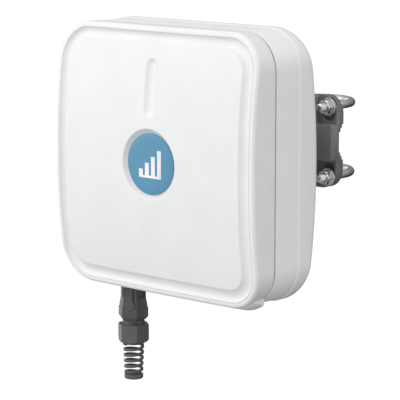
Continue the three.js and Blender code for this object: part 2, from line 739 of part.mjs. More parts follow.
function standoffPlaces() {
  const [x, z] = [BOARD_WIDTH / 2 - STANDOFF_INSET, BOARD_HEIGHT / 2 - STANDOFF_INSET];
  return [[x, z], [-x, z], [-x, -z], [x, -z]];
}

function ethernetJack() {
  const front = BOARD_Y + BOARD_THICKNESS + 2 * TOUCH;
  const bottom = -BOARD_HEIGHT / 2 - 1;
  const right = JACK_LEFT + JACK_WIDTH;
  const shell = box(JACK_LEFT, right, front, front + JACK_DEPTH, bottom, bottom + JACK_HEIGHT);
  const mouth = box(JACK_LEFT + 2, right - 2, front + 2.5, front + 11, bottom - 1, bottom + 13);
  return shell.subtract(mouth);
}

// ---------------------------------------------------------------- cable gland

function glandBody() {
  const washerBottom = GLAND_PAD_Z - GLAND_WASHER - 2 * TOUCH;
  const place = [GLAND_X, GLAND_Y];
  const flangeBottom = washerBottom - 4;
  const neckEnd = washerBottom - GLAND_BODY_NECK;
  const shoulder = GLAND_BODY_BOTTOM + 5;
  const body = union(
    hexBar('z', GLAND_BODY_TOP_AF, neckEnd, washerBottom, ...place, GLAND_TURN),
    bar('z', GLAND_PAD_RADIUS - 2.5, flangeBottom, washerBottom, ...place),
    hexBar('z', GLAND_BODY_AF, shoulder, neckEnd, ...place, GLAND_TURN, GLAND_BODY_TOP_AF),
    hexBar('z', GLAND_BODY_AF - 3.4, GLAND_BODY_BOTTOM, shoulder, ...place, GLAND_TURN, GLAND_BODY_AF),
    bar('z', GLAND_THREAD, washerBottom - 1, GLAND_INSIDE_END, ...place),
    bar('z', GLAND_THREAD + TOUCH, GLAND_SOCKET_END, GLAND_BODY_BOTTOM + 1, ...place),
    glandTongue(),
  );
  const bore = bar('z', GLAND_BORE, GLAND_SOCKET_END - 1, GLAND_INSIDE_END + 1, ...place);
  const seat = hole('z', SEAL_RADIUS + BOLT_PLAY, GLAND_SOCKET_END - 1, SEAL_TOP + GAP, ...place, ROUND);
  return cut(body, bore, seat);
}

// Raised latch tongue with a round end on the facet that faces forward and left.
function glandTongue() {
  const facet = GLAND_BODY_AF / 2;
  const turn = THREE.MathUtils.degToRad(GLAND_TURN + 30);
  const length = TONGUE_TOP - TONGUE_BULB;
  const middleZ = (TONGUE_TOP + TONGUE_BULB) / 2;
  const strip = new THREE.BoxGeometry(TONGUE_WIDTH, 3.4, length).translate(0, -facet + 1.2, middleZ);
  const end = new THREE.CylinderGeometry(TONGUE_BULB_RADIUS, TONGUE_BULB_RADIUS, 3.6, 20);
  const parts = [strip, end.translate(0, -facet + 1.1, TONGUE_BULB)];
  return union(...parts.map((g) => solid(g.rotateZ(turn).translate(GLAND_X, GLAND_Y, 0))));
}

function glandLocknut() {
  const top = GLAND_INSIDE_END - 1.5;
  const bottom = top - LOCKNUT_HEIGHT;
  const blank = hexBar('z', LOCKNUT_AF, bottom, top, GLAND_X, GLAND_Y, GLAND_TURN);
  return blank.subtract(hole('z', GLAND_THREAD + BOLT_PLAY, bottom - 1, top + 1, GLAND_X, GLAND_Y, ROUND));
}

function glandWasher() {
  const [top, bottom] = [GLAND_PAD_Z - TOUCH, GLAND_PAD_Z - GLAND_WASHER];
  const disc = bar('z', GLAND_PAD_RADIUS - 2, bottom, top, GLAND_X, GLAND_Y);
  return disc.subtract(hole('z', GLAND_THREAD + BOLT_PLAY, bottom - 1, top + 1, GLAND_X, GLAND_Y, ROUND));
}

function glandSeal() {
  const bottom = GLAND_SOCKET_END;
  return turned([
    [CABLE_BORE, bottom + 1],
    [SEAL_RADIUS - 1.2, bottom + 1],
    [SEAL_RADIUS, bottom + 4],
    [SEAL_RADIUS, SEAL_TOP],
    [CABLE_BORE, SEAL_TOP],
  ], GLAND_X, GLAND_Y);
}

// Pressure ring that the dome nut drives up against the seal.
function glandClaw() {
  const outer = GLAND_THREAD - 0.6;
  return turned([
    [CABLE_BORE + 1, CLAW_BOTTOM],
    [outer, CLAW_BOTTOM],
    [outer, CLAW_TOP - 1.4],
    [outer - 1.6, CLAW_TOP],
    [CABLE_BORE + 1, CLAW_TOP],
  ], GLAND_X, GLAND_Y);
}

// Dome nut and the spiral bend guard moulded on to it.
function glandNut() {
  const bottom = GLAND_NUT_TOP - GLAND_NUT_HEIGHT;
  const place = [GLAND_X, GLAND_Y];
  const corner = GLAND_NUT_AF / Math.sqrt(3) + 0.05;
  const blank = hexBar('z', GLAND_NUT_AF, bottom, GLAND_NUT_TOP, ...place, GLAND_TURN);
  const round = union(
    bar('z', corner - 2.4, bottom, bottom + 3, ...place, 36, corner),
    bar('z', corner, bottom + 3, GLAND_NUT_TOP - 1.2, ...place, 36),
    bar('z', corner, GLAND_NUT_TOP - 1.2, GLAND_NUT_TOP, ...place, 36, corner - 1.6),
  );
  const neckBottom = bottom - GUARD_NECK;
  const coilEnd = neckBottom - GUARD_TURNS * GUARD_PITCH + 1;
  const neck = bar('z', GUARD_RADIUS_TOP, neckBottom, bottom + 1, ...place, ROUND, GUARD_RADIUS_TOP + 0.8);
  const ringTop = coilEnd + 0.7;
  const ring = bar('z', GUARD_RADIUS_END, ringTop - GUARD_RING_HEIGHT, ringTop, ...place);
  const body = union(blank.intersect(round), neck, ring);
  const chamberRadius = GLAND_THREAD + TOUCH + BOLT_PLAY;
  const chamber = hole('z', chamberRadius, CLAW_BOTTOM - CLAW_GAP, GLAND_NUT_TOP + 1, ...place, ROUND);
  const bore = bar('z', GUARD_RADIUS_END - GUARD_WIRE_RADIAL, coilEnd - 20, GLAND_NUT_TOP, ...place);
  return cut(body, chamber, bore).add(guardCoil(neckBottom + 0.6, coilEnd + 0.4));
}

// Coil of rounded flat wire between two heights, narrowing downwards.
function guardCoil(top, end) {
  const steps = Math.round(GUARD_TURNS * 16);
  const rings = [];
  for (let i = 0; i <= steps; i += 1) {
    const share = i / steps;
    const angle = 2 * Math.PI * GUARD_TURNS * share;
    const outer = THREE.MathUtils.lerp(GUARD_RADIUS_TOP, GUARD_RADIUS_END, share);
    const radius = outer - GUARD_WIRE_RADIAL / 2;
    const z = THREE.MathUtils.lerp(top, end, share);
    const section = [[1, 0], [0.5, 1], [-0.9, 1], [-0.9, -1], [0.5, -1]].map(([u, v]) => {
      const r = radius + (u * GUARD_WIRE_RADIAL) / 2;
      const x = GLAND_X + r * Math.cos(angle);
      const y = GLAND_Y + r * Math.sin(angle);
      return new THREE.Vector3(x, y, z + (v * GUARD_WIRE_HEIGHT) / 2);
    });
    rings.push(section);
  }
  return solid(loft([centred(rings[0]), ...rings, centred(rings[rings.length - 1])]));
}

// ---------------------------------------------------------------- bracket

function mountPlate() {
  let plate = slab(PLATE_HALF, PLATE_HALF, PAD_CORNER, PLATE_FRONT, PLATE_FRONT + PLATE_THICKNESS);
  for (const side of [-1, 1]) {
    const [x0, x1] = side < 0 ? [-LUG_OUT, -LUG_IN] : [LUG_IN, LUG_OUT];
    plate = plate.add(bar('x', TILT_LUG_RADIUS, x0, x1, TILT_Y, 0));
    plate = plate.add(box(x0, x1, PLATE_FRONT + 1, TILT_Y, -TILT_LUG_RADIUS, TILT_LUG_RADIUS));
    const gusset = new THREE.Shape([
      new THREE.Vector2(side * (LUG_OUT - 1), PLATE_FRONT + 1),
      new THREE.Vector2(side * (LUG_OUT + GUSSET_REACH), PLATE_FRONT + 1),
      new THREE.Vector2(side * (LUG_OUT + GUSSET_REACH), PLATE_FRONT + PLATE_THICKNESS + 1),
      new THREE.Vector2(side * (LUG_OUT - 1), PLATE_FRONT + PLATE_THICKNESS + GUSSET_HEIGHT),
    ]);
    const rib = new THREE.ExtrudeGeometry(gusset, { depth: GUSSET_THICKNESS, bevelEnabled: false });
    plate = plate.add(solid(facingOutside(rib.translate(0, 0, -GUSSET_THICKNESS / 2))));
  }
  plate = plate.subtract(hole('x', BOLT_RADIUS + BOLT_PLAY, -LUG_OUT - 1, LUG_OUT + 1, TILT_Y, 0));
  for (const [x, z] of corners(PLATE_SCREW_AT)) {
    plate = plate.subtract(hole('y', PLATE_SCREW_RADIUS + BOLT_PLAY, PAD_Y - 1, PAD_Y + 10, x, z));
  }
  return plate;
}

function boltX(y, z) {
  const seat = LUG_OUT + WASHER_THICKNESS + 4 * TOUCH;
  const shank = bar('x', BOLT_RADIUS, -seat, seat + NUT_HEIGHT + BOLT_TAIL, y, z);
  return shank.add(hexBar('x', NUT_AF, -seat - HEAD_HEIGHT, -seat, y, z, 30));
}

function tiltArm() {
  const half = ARM_WIDTH / 2;
  const tiltY = TILT_Y - POLE_TO_SEAM;
  const barrel = bar('x', ARM_FRONT_RADIUS, -half, half, tiltY, 0);
  const link = box(-ARM_BAR_WIDTH / 2, ARM_BAR_WIDTH / 2, tiltY, -PAN_AXIS, -ARM_HEIGHT / 2, ARM_HEIGHT / 2);
  const hub = bar('z', ARM_REAR_RADIUS, -ARM_HEIGHT / 2, ARM_HEIGHT / 2, 0, -PAN_AXIS);
  const tiltBore = hole('x', BOLT_RADIUS + BOLT_PLAY, -half - 1, half + 1, tiltY, 0);
  const panBore = hole('z', BOLT_RADIUS + BOLT_PLAY, -ARM_HEIGHT, ARM_HEIGHT, 0, -PAN_AXIS);
  const [p0, p1] = [tiltY + ARM_FRONT_RADIUS + 3, -PAN_AXIS - ARM_REAR_RADIUS - 3];
  const pocket = ARM_BAR_WIDTH / 2 - 4;
  const upper = box(-pocket, pocket, p0, p1, 2, ARM_HEIGHT);
  const lower = box(-pocket, pocket, p0, p1, -ARM_HEIGHT, -2);
  return cut(union(barrel, link, hub), tiltBore, panBore, upper, lower);
}

function boltZ() {
  const seat = PAN_LUG_OUT + WASHER_THICKNESS + 4 * TOUCH;
  const shank = bar('z', BOLT_RADIUS, -seat - NUT_HEIGHT - BOLT_TAIL, seat, 0, -PAN_AXIS);
  return shank.add(hexBar('z', NUT_AF, seat, seat + HEAD_HEIGHT, 0, -PAN_AXIS, 30));
}

// ---------------------------------------------------------------- pole clamp

// Groove profile [across, depth] with stair-like teeth on both flanks.
function toothedGroove(half, floor, depth, teeth) {
  const flank = [];
  for (let i = 0; i < teeth; i += 1) {
    const [a, b] = [i / teeth, (i + 1) / teeth];
    const across = (share) => half + (floor - half) * share;
    flank.push([across(a), depth * a]);
    flank.push([across(a) + (across(b) - across(a)) * 0.3, depth * b]);
  }
  flank.push([floor, depth]);
  const mirrored = flank.map(([x, d]) => [-x, d]).reverse();
  return [[half, -5], ...flank, ...mirrored, [-half, -5]];
}

function grooveCutter(half, floor, depth, teeth, length) {
  const profile = toothedGroove(half, floor, depth, teeth);
  const shape = new THREE.Shape(profile.map(([x, d]) => new THREE.Vector2(x, -JAW_REAR - d)));
  const geometry = new THREE.ExtrudeGeometry(shape, { depth: 2 * length, bevelEnabled: false });
  return facingOutside(geometry.translate(0, 0, -length));
}

function clampJaw() {
  const rear = -JAW_REAR;
  const blockFront = rear - JAW_BLOCK_THICKNESS;
  const ears = slab(JAW_HALF_WIDTH, JAW_HALF_HEIGHT, JAW_CORNER, rear - JAW_EAR_THICKNESS, rear);
  const [wide, narrow] = [JAW_HALF_WIDTH, JAW_SPINE_HALF_WIDTH];
  const block = box(-wide, wide, blockFront, rear, -PAN_LUG_OUT, PAN_LUG_OUT);
  const spine = box(-narrow, narrow, blockFront, rear, -JAW_HALF_HEIGHT, JAW_HALF_HEIGHT);
  let jaw = union(ears, block, spine);
  for (const [z0, z1] of [[PAN_LUG_IN, PAN_LUG_OUT], [-PAN_LUG_OUT, -PAN_LUG_IN]]) {
    jaw = jaw.add(bar('z', PAN_LUG_RADIUS, z0, z1, 0, -PAN_AXIS));
    jaw = jaw.add(box(-PAN_LUG_RADIUS, PAN_LUG_RADIUS, -PAN_AXIS, blockFront + 1, z0, z1));
  }
  jaw = jaw.subtract(hole('z', BOLT_RADIUS + BOLT_PLAY, -PAN_LUG_OUT - 1, PAN_LUG_OUT + 1, 0, -PAN_AXIS));
  const poleGroove = [POLE_GROOVE_HALF, POLE_GROOVE_FLOOR, POLE_GROOVE_DEPTH, POLE_GROOVE_TEETH];
  const crossGroove = [CROSS_GROOVE_HALF, CROSS_GROOVE_FLOOR, CROSS_GROOVE_DEPTH, CROSS_GROOVE_TEETH];
  const along = grooveCutter(...poleGroove, JAW_HALF_HEIGHT + 10);
  const across = grooveCutter(...crossGroove, JAW_HALF_WIDTH + 10);
  jaw = cut(jaw, solid(along), solid(across.rotateY(Math.PI / 2)));
  for (const x of [-U_BOLT_BEND, U_BOLT_BEND]) {
    for (const z of [-U_BOLT_Z, U_BOLT_Z]) {
      jaw = jaw.subtract(hole('y', BOLT_RADIUS + BOLT_PLAY, blockFront - 1, rear + 1, x, z));
    }
  }
  return jaw;
}

function uBolt(z) {
  const path = new THREE.CurvePath();
  const [left, right] = [new THREE.Vector3(-U_BOLT_BEND, 0, z), new THREE.Vector3(U_BOLT_BEND, 0, z)];
  const bend = new UBend(U_BOLT_BEND, z);
  path.add(new THREE.LineCurve3(right.clone().setY(U_BOLT_END), right));
  path.add(bend);
  path.add(new THREE.LineCurve3(left, left.clone().setY(U_BOLT_END)));
  return tube(path, BOLT_RADIUS, 28, 8);
}

class UBend extends THREE.Curve {
  constructor(radius, z) {
    super();
    this.radius = radius;
    this.z = z;
  }

  getPoint(t, target = new THREE.Vector3()) {
    const angle = Math.PI * t;
    return target.set(this.radius * Math.cos(angle), this.radius * Math.sin(angle), this.z);
  }
}

// ---------------------------------------------------------------- assembly

const group = new THREE.Group();
const panel = new THREE.Group();
// [shank radius, head radius, head height] of each kind of screw
const coverScrew = [COVER_SCREW_RADIUS, COVER_SCREW_HEAD, COVER_SCREW_HEAD_HEIGHT];
const smallScrew = [SMALL_SCREW_RADIUS, SMALL_SCREW_HEAD, SMALL_SCREW_HEAD_HEIGHT];
const plateScrew = [PLATE_SCREW_RADIUS, PLATE_SCREW_HEAD, PLATE_SCREW_HEAD_HEIGHT];
panel.position.y = -POLE_TO_SEAM;
group.add(panel);

piece(panel, 'front_cover', frontCover(), whitePlastic);
piece(panel, 'badge_disc', badgeDisc(), bluePlastic);
piece(panel, 'badge_mark', badgeMark(), markPlastic);
piece(panel, 'seam_gasket', gasket(), rubber);
piece(panel, 'back_housing', backHousing(), whitePlastic);
corners(COVER_SCREW_AT).forEach(([x, z], i) => {
  const [seat, length] = [COVER_SCREW_SEAT + TOUCH, COVER_SCREW_SEAT + COVER_SCREW_REACH];
  const body = screw(x, seat, z, coverScrew, length, -1);
  piece(panel, `cover_screw_${i + 1}`, body, zinc);
});

piece(panel, 'reflector_plate', reflectorPlate(), aluminium);
corners(REFLECTOR_POST_AT).forEach(([x, z], i) => {
  const seat = REFLECTOR_Y - TOUCH;
  const body = screw(x, seat, z, smallScrew, SMALL_SCREW_LENGTH, 1);
  piece(panel, `reflector_screw_${i + 1}`, body, zinc);
});
const drivenBack = REFLECTOR_Y - DRIVEN_GAP;
const parasiticBack = drivenBack - PATCH_THICKNESS - PARASITIC_GAP;
piece(panel, 'patch_driven', patch(DRIVEN_HALF, drivenBack), brass);
piece(panel, 'patch_parasitic', patch(PARASITIC_HALF, parasiticBack), brass);
piece(panel, 'patch_spacer', union(
  bar('y', SPACER_RADIUS, drivenBack + TOUCH, REFLECTOR_Y - TOUCH),
  bar('y', SPACER_RADIUS, parasiticBack + TOUCH, drivenBack - PATCH_THICKNESS - TOUCH),
  bar('y', SPACER_RADIUS / 2, parasiticBack - PATCH_THICKNESS - 2, REFLECTOR_Y - 1),
), darkPlastic);
piece(panel, 'radio_board', radioBoard(), boardLacquer);
standoffPlaces().forEach(([x, z], i) => {
  const [from, to] = [REFLECTOR_Y + REFLECTOR_THICKNESS + TOUCH, BOARD_Y - TOUCH];
  piece(panel, `board_standoff_${i + 1}`, hexBar('y', 2 * STANDOFF_RADIUS, from, to, x, z), brass);
});
piece(panel, 'board_shield', boardShield(), zinc);
piece(panel, 'ethernet_jack', ethernetJack(), zinc);
piece(panel, 'pigtail_left', pigtail(-1), rubber);
piece(panel, 'pigtail_right', pigtail(1), rubber);

piece(panel, 'gland_washer', glandWasher(), rubber);
piece(panel, 'gland_body', glandBody(), darkPlastic);
piece(panel, 'gland_locknut', glandLocknut(), darkPlastic);
piece(panel, 'gland_seal', glandSeal(), rubber);
piece(panel, 'gland_claw', glandClaw(), darkPlastic);
piece(panel, 'gland_nut', glandNut(), darkPlastic);

piece(panel, 'mount_plate', mountPlate(), jawPlastic);
corners(PLATE_SCREW_AT).forEach(([x, z], i) => {
  const seat = PLATE_FRONT + PLATE_THICKNESS + TOUCH;
  const length = PLATE_THICKNESS + PLATE_SCREW_REACH;
  const body = screw(x, seat, z, plateScrew, length, -1);
  piece(panel, `mount_screw_${i + 1}`, body, zinc);
});
piece(panel, 'tilt_bolt', boltX(TILT_Y, 0), zinc);
const tiltWasher = [LUG_OUT + 2 * TOUCH, LUG_OUT + 2 * TOUCH + WASHER_THICKNESS];
const tiltNut = [tiltWasher[1] + 2 * TOUCH, tiltWasher[1] + 2 * TOUCH + NUT_HEIGHT];
piece(panel, 'tilt_washer_left', washer('x', -tiltWasher[1], -tiltWasher[0], TILT_Y, 0), zinc);
piece(panel, 'tilt_washer_right', washer('x', ...tiltWasher, TILT_Y, 0), zinc);
piece(panel, 'tilt_nut', hexNut('x', ...tiltNut, TILT_Y, 0, 30), zinc);

piece(group, 'tilt_arm', tiltArm(), jawPlastic);
piece(group, 'pan_bolt', boltZ(), zinc);
const panWasher = [PAN_LUG_OUT + 2 * TOUCH, PAN_LUG_OUT + 2 * TOUCH + WASHER_THICKNESS];
const panNutTop = -panWasher[1] - 2 * TOUCH;
piece(group, 'pan_washer_upper', washer('z', ...panWasher, 0, -PAN_AXIS), zinc);
piece(group, 'pan_washer_lower', washer('z', -panWasher[1], -panWasher[0], 0, -PAN_AXIS), zinc);
piece(group, 'pan_nut', hexNut('z', panNutTop - NUT_HEIGHT, panNutTop, 0, -PAN_AXIS, 30), zinc);

piece(group, 'clamp_jaw', clampJaw(), jawPlastic);
for (const [row, z] of [['upper', U_BOLT_Z], ['lower', -U_BOLT_Z]]) {
  piece(group, `u_bolt_${row}`, uBolt(z), zinc);
  for (const [side, x] of [['left', -U_BOLT_BEND], ['right', U_BOLT_BEND]]) {
    const washerBack = EAR_FRONT - TOUCH;
    const disc = washer('y', washerBack - WASHER_THICKNESS, washerBack, x, z);
    const nut = hexNut('y', CLAMP_NUT_BACK - NUT_HEIGHT, CLAMP_NUT_BACK, x, z, 30);
    piece(group, `clamp_washer_${row}_${side}`, disc, zinc);
    piece(group, `clamp_nut_${row}_${side}`, nut, zinc);
  }
}

export default group;
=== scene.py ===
import json
import math

import bmesh
import bpy
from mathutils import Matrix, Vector
from mathutils.geometry import delaunay_2d_cdt
from mathutils.kdtree import KDTree


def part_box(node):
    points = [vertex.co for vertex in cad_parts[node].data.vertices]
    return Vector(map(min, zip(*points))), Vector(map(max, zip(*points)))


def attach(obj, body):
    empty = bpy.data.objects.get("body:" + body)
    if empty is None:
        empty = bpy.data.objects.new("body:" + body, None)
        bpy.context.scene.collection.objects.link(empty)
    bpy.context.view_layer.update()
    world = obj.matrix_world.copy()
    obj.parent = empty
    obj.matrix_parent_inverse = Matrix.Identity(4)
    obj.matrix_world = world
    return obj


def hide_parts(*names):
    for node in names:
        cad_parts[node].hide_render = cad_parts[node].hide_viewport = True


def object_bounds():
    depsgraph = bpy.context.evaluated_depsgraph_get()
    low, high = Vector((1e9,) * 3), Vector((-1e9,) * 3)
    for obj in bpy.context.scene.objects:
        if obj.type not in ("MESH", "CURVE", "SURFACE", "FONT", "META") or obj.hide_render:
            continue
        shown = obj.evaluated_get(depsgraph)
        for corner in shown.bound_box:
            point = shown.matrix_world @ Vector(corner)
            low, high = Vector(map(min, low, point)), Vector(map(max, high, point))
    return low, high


# Looks of a pole-mounted flat-panel antenna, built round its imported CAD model.
# The shapes are worked out in millimetres in the part's own frame, and mesh_piece() turns them into metres.

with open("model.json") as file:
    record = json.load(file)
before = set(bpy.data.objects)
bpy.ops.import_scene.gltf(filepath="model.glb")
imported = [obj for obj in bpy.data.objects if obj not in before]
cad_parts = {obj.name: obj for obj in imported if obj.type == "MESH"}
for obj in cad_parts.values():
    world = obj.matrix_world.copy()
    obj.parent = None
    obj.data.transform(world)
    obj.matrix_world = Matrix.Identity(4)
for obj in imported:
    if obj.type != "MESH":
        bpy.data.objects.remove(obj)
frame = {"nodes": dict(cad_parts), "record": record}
nodes = frame["nodes"]
record = frame["record"]
scene = bpy.context.scene
cad_size = [list(corner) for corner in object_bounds()]
MM = 0.001

BODY_OF = {node: body for body, names in record["behaviour"]["bodies"].items() for node in names}
SLOT_OF = {part["node"]: part["material_slot"] for part in record["subparts"]}

# ---------------------------------------------------------------- sizes from the frame

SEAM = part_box("front_cover")[1].y / MM
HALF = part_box("back_housing")[1].x / MM
CORNER = 37
SEAM_INSET = 1.7
GASKET = 1.6
WALL = 3
PLAY = 0.3

COVER_DEPTH = 17.1
BULGE_Z = 12.9
BULGE_Z_POWER = 2.4
BULGE_X = 2.9
BULGE_X_POWER = 1.7
PANEL_INSET = 20
CHANNEL_MIDDLE = 12.45
CHANNEL_HALF = 5.95
CHANNEL_DEPTH = 3.4
CREASE_INSET = 6.35
CREASE_DEPTH = 1.1

SLOT_WIDTH = 13
SLOT_HEIGHT = 53
SLOT_Z = HALF - 30 - SLOT_HEIGHT / 2
SLOT_DEPTH = 2.6
SLOT_EDGE = 6.1
BADGE_Z = -1
BADGE_RADIUS = 28.5
BADGE_THICKNESS = 1.2
BADGE_RECESS = 4.5

BACK_DEPTH = 48.5
BACK_BULGE = 12.8
STEP_Y = 31.4
ROUNDING_INSET = 8
ROUNDING_DROP = 9
PAD_HALF = 46
PAD_CORNER = 8
PAD_Y = 62
COVER_SCREW_AT = 100
COVER_SCREW_SEAT = 30
COVER_POST_RADIUS = 7.5
COVER_BOSS_RADIUS = 6.5
REFLECTOR_POST_AT = 78
REFLECTOR_POST_RADIUS = 5
REFLECTOR_POST_TOP = 11.1
PLATE_SCREW_AT = 34
PLATE_POST_RADIUS = 7
PLATE_POST_DEPTH = 17
PLATE_THICKNESS = 6

GLAND = (-73.3, SEAM + 22.5)
GLAND_CORNER_ANGLE = 26.4
GLAND_TOP = -126
GLAND_BODY_BOTTOM = -165
GLAND_NUT_TOP = -170.3
GLAND_NUT_BOTTOM = -187.9
GLAND_NECK_AF = 22
GLAND_BAND_AF = 26
GLAND_NUT_AF = 27
GLAND_RING_RADIUS = 10.7
GUARD_TURNS = 5.5
GUARD_START = -95

TILT = (SEAM + 97.5, 0)
PAN = (0, -58.6)
BEND = 33.5
U_BOLT_Z = 34.7
BOLT = 4
NUT_AF = 13
NUT_HEIGHT = 6.5
HEAD_HEIGHT = 5.3
THREAD_PITCH = 1.25
THREAD_DEPTH = 0.6
WASHER_RADIUS = 9
WASHER = 1.6
STACK_GAP = 0.2
EAR_FRONT = -24.1
JAW_REAR = -13.4
BLOCK_FRONT = -33.1
LUG_OUT = 25
PAN_LUG_OUT = 18
EAR_CORNER_X = BEND + 10
EAR_CORNER_Z = U_BOLT_Z + 11.3

# ---------------------------------------------------------------- camera

CAMERA_AZIMUTH = 42.27
CAMERA_ELEVATION = 9.71
CAMERA_DISTANCE = 1855.1
CAMERA_RIGHT = 23.46
CAMERA_UP = -37.63
CAMERA_LENS = 181.26
AIM_BEHIND_SEAM = 2.5


def add_camera():
    azimuth = math.radians(CAMERA_AZIMUTH)
    elevation = math.radians(CAMERA_ELEVATION)
    back = Vector((math.sin(azimuth) * math.cos(elevation), -math.cos(azimuth) * math.cos(elevation),
                   math.sin(elevation)))
    right = Vector((math.cos(azimuth), math.sin(azimuth), 0))
    aim = Vector((0, SEAM + AIM_BEHIND_SEAM, 0)) + right * CAMERA_RIGHT + back.cross(right) * CAMERA_UP
    data = bpy.data.cameras.new("camera")
    data.lens = CAMERA_LENS
    data.sensor_width = 36
    data.clip_end = 20
    camera = bpy.data.objects.new("camera", data)
    camera.location = (aim + back * CAMERA_DISTANCE) * MM
    camera.rotation_euler = (-back).to_track_quat("-Z", "Y").to_euler()
    scene.collection.objects.link(camera)
    scene.camera = camera


add_camera()

# ---------------------------------------------------------------- mesh helpers


def mesh_piece(name, points, faces):
    """A closed mesh with its faces turned outwards."""
    mesh = bpy.data.meshes.new(name)
    mesh.from_pydata([tuple(c * MM for c in p) for p in points], [], faces)
    build = bmesh.new()
    build.from_mesh(mesh)
    bmesh.ops.recalc_face_normals(build, faces=build.faces)
    build.to_mesh(mesh)
    build.free()
    piece = bpy.data.objects.new(name, mesh)
    scene.collection.objects.link(piece)
    return piece


def skin(rings, loop=False):
    """Points and faces over rings of equal length, with capped ends, or with the last joined to the first."""
    count = len(rings[0])
    points = [p for ring in rings for p in ring]
    joints = list(zip(range(len(rings) - 1), range(1, len(rings))))
    if loop:
        joints.append((len(rings) - 1, 0))
    faces = []
    for a, b in joints:
        for i in range(count):
            j = (i + 1) % count
            faces.append((a * count + i, a * count + j, b * count + j, b * count + i))
    if not loop:
        faces.append(tuple(range(count)))
        faces.append(tuple(range((len(rings) - 1) * count, len(rings) * count)))
    return points, faces


def joined(name, *shells):
    """One piece from several closed shells, each a pair of points and faces."""
    points, faces = [], []
    for more_points, more_faces in shells:
        start = len(points)
        points += more_points
        faces += [tuple(start + i for i in face) for face in more_faces]
    return mesh_piece(name, points, faces)


PLACES = {
    "x": lambda u, v, w: (w, u, v),
    "y": lambda u, v, w: (u, w, v),
    "z": lambda u, v, w: (u, v, w),
}


def around(axis, centre, sections, count=96, first=0):
    """Rings about an axis from places and radii; a radius is a number or a function of degrees."""
    rings = []
    for along, radius in sections:
        ring = []
        for i in range(count):
            angle = first + 360 * i / count
            r = radius(angle) if callable(radius) else radius
            turn = math.radians(angle)
            ring.append(PLACES[axis](centre[0] + r * math.cos(turn), centre[1] + r * math.sin(turn), along))
        rings.append(ring)
    return rings


def hexagon(across_flats, corner_angle=0, limit=math.inf):
    """Radius of a hexagon at an angle, cut back to a round limit."""
    def radius(angle):
        from_flat = (angle - corner_angle) % 60 - 30
        return min(across_flats / 2 / math.cos(math.radians(from_flat)), limit)
    return radius


def extruded(axis, loop, start, end):
    return skin([[PLACES[axis](u, v, w) for u, v in loop] for w in (start, end)])


def rounded(cu, cv, half_u, half_v, corner, steps=10):
    """Loop of a rectangle with round corners."""
    loop = []
    for side, (su, sv) in enumerate(((1, 1), (-1, 1), (-1, -1), (1, -1))):
        for i in range(steps + 1):
            angle = math.radians(90 * (side + i / steps))
            loop.append((cu + su * (half_u - corner) + corner * math.cos(angle),
                         cv + sv * (half_v - corner) + corner * math.sin(angle)))
    return loop


def circle(cu, cv, radius, steps=48):
    turns = [2 * math.pi * i / steps for i in range(steps)]
    return [(cu + radius * math.cos(t), cv + radius * math.sin(t)) for t in turns]


def applied(piece):
    """The piece with its modifiers worked into its mesh."""
    graph = bpy.context.evaluated_depsgraph_get()
    mesh = bpy.data.meshes.new_from_object(piece.evaluated_get(graph), depsgraph=graph)
    piece.modifiers.clear()
    old = piece.data
    piece.data = mesh
    bpy.data.meshes.remove(old)
    return piece


def shaped(name, base, *steps):
    """A piece made by booleans from a base shell and steps, each an operation and a shell."""
    piece = joined(name, base)
    tools = []
    for operation, shell in steps:
        tool = joined(name + "_tool", shell)
        tools.append(tool)
        change = piece.modifiers.new(operation, "BOOLEAN")
        change.operation = operation
        change.solver = "EXACT"
        change.object = tool
    applied(piece)
    for tool in tools:
        bpy.data.meshes.remove(tool.data)
    return piece


def eased(piece, width, segments=3, sharp=35):
    """Rounds a piece's edges by a width in millimetres."""
    flatten = piece.modifiers.new("flatten", "DECIMATE")
    flatten.decimate_type = "DISSOLVE"
    flatten.angle_limit = math.radians(0.5)
    bevel = piece.modifiers.new("bevel", "BEVEL")
    bevel.width = width * MM
    bevel.segments = segments
    bevel.limit_method = "ANGLE"
    bevel.angle_limit = math.radians(sharp)
    bevel.harden_normals = True
    return applied(piece)


def smooth(piece, sharp=30):
    piece.data.polygons.foreach_set("use_smooth", [True] * len(piece.data.polygons))
    piece.data.set_sharp_from_angle(angle=math.radians(sharp))
    return piece


# ---------------------------------------------------------------- materials


class Finish:
    """A node material with helpers for the noise that varies it."""

    def __init__(self, name):
        self.material = bpy.data.materials.new(name)
        self.material.use_nodes = True
        self.tree = self.material.node_tree
        self.shader = self.tree.nodes["Principled BSDF"]
        self.place = self.tree.nodes.new("ShaderNodeTexCoord").outputs["Object"]

    def node(self, kind, **values):
        made = self.tree.nodes.new(kind)
        for name, value in values.items():
            made.inputs[name.replace("_", " ")].default_value = value
        return made

    def noise(self, scale, detail=3, roughness=0.55):
        made = self.node("ShaderNodeTexNoise", Scale=scale, Detail=detail, Roughness=roughness)
        self.tree.links.new(self.place, made.inputs["Vector"])
        return made.outputs["Fac"]

    def ranged(self, source, low, high, start=0.3, end=0.7):
        made = self.node("ShaderNodeMapRange", From_Min=start, From_Max=end, To_Min=low, To_Max=high)
        self.tree.links.new(source, made.inputs["Value"])
        return made.outputs["Result"]

    def colour(self, source, first, second, start=0.35, end=0.65):
        ramp = self.tree.nodes.new("ShaderNodeValToRGB")
        ramp.color_ramp.elements[0].position = start
        ramp.color_ramp.elements[0].color = (*first, 1)
        ramp.color_ramp.elements[1].position = end
        ramp.color_ramp.elements[1].color = (*second, 1)
        self.tree.links.new(source, ramp.inputs["Fac"])
        self.tree.links.new(ramp.outputs["Color"], self.shader.inputs["Base Color"])

    def roughness(self, source, low, high):
        self.tree.links.new(self.ranged(source, low, high), self.shader.inputs["Roughness"])

    def bump(self, source, strength, distance_mm):
        made = self.node("ShaderNodeBump", Strength=strength, Distance=distance_mm * MM)
        self.tree.links.new(source, made.inputs["Height"])
        self.tree.links.new(made.outputs["Normal"], self.shader.inputs["Normal"])


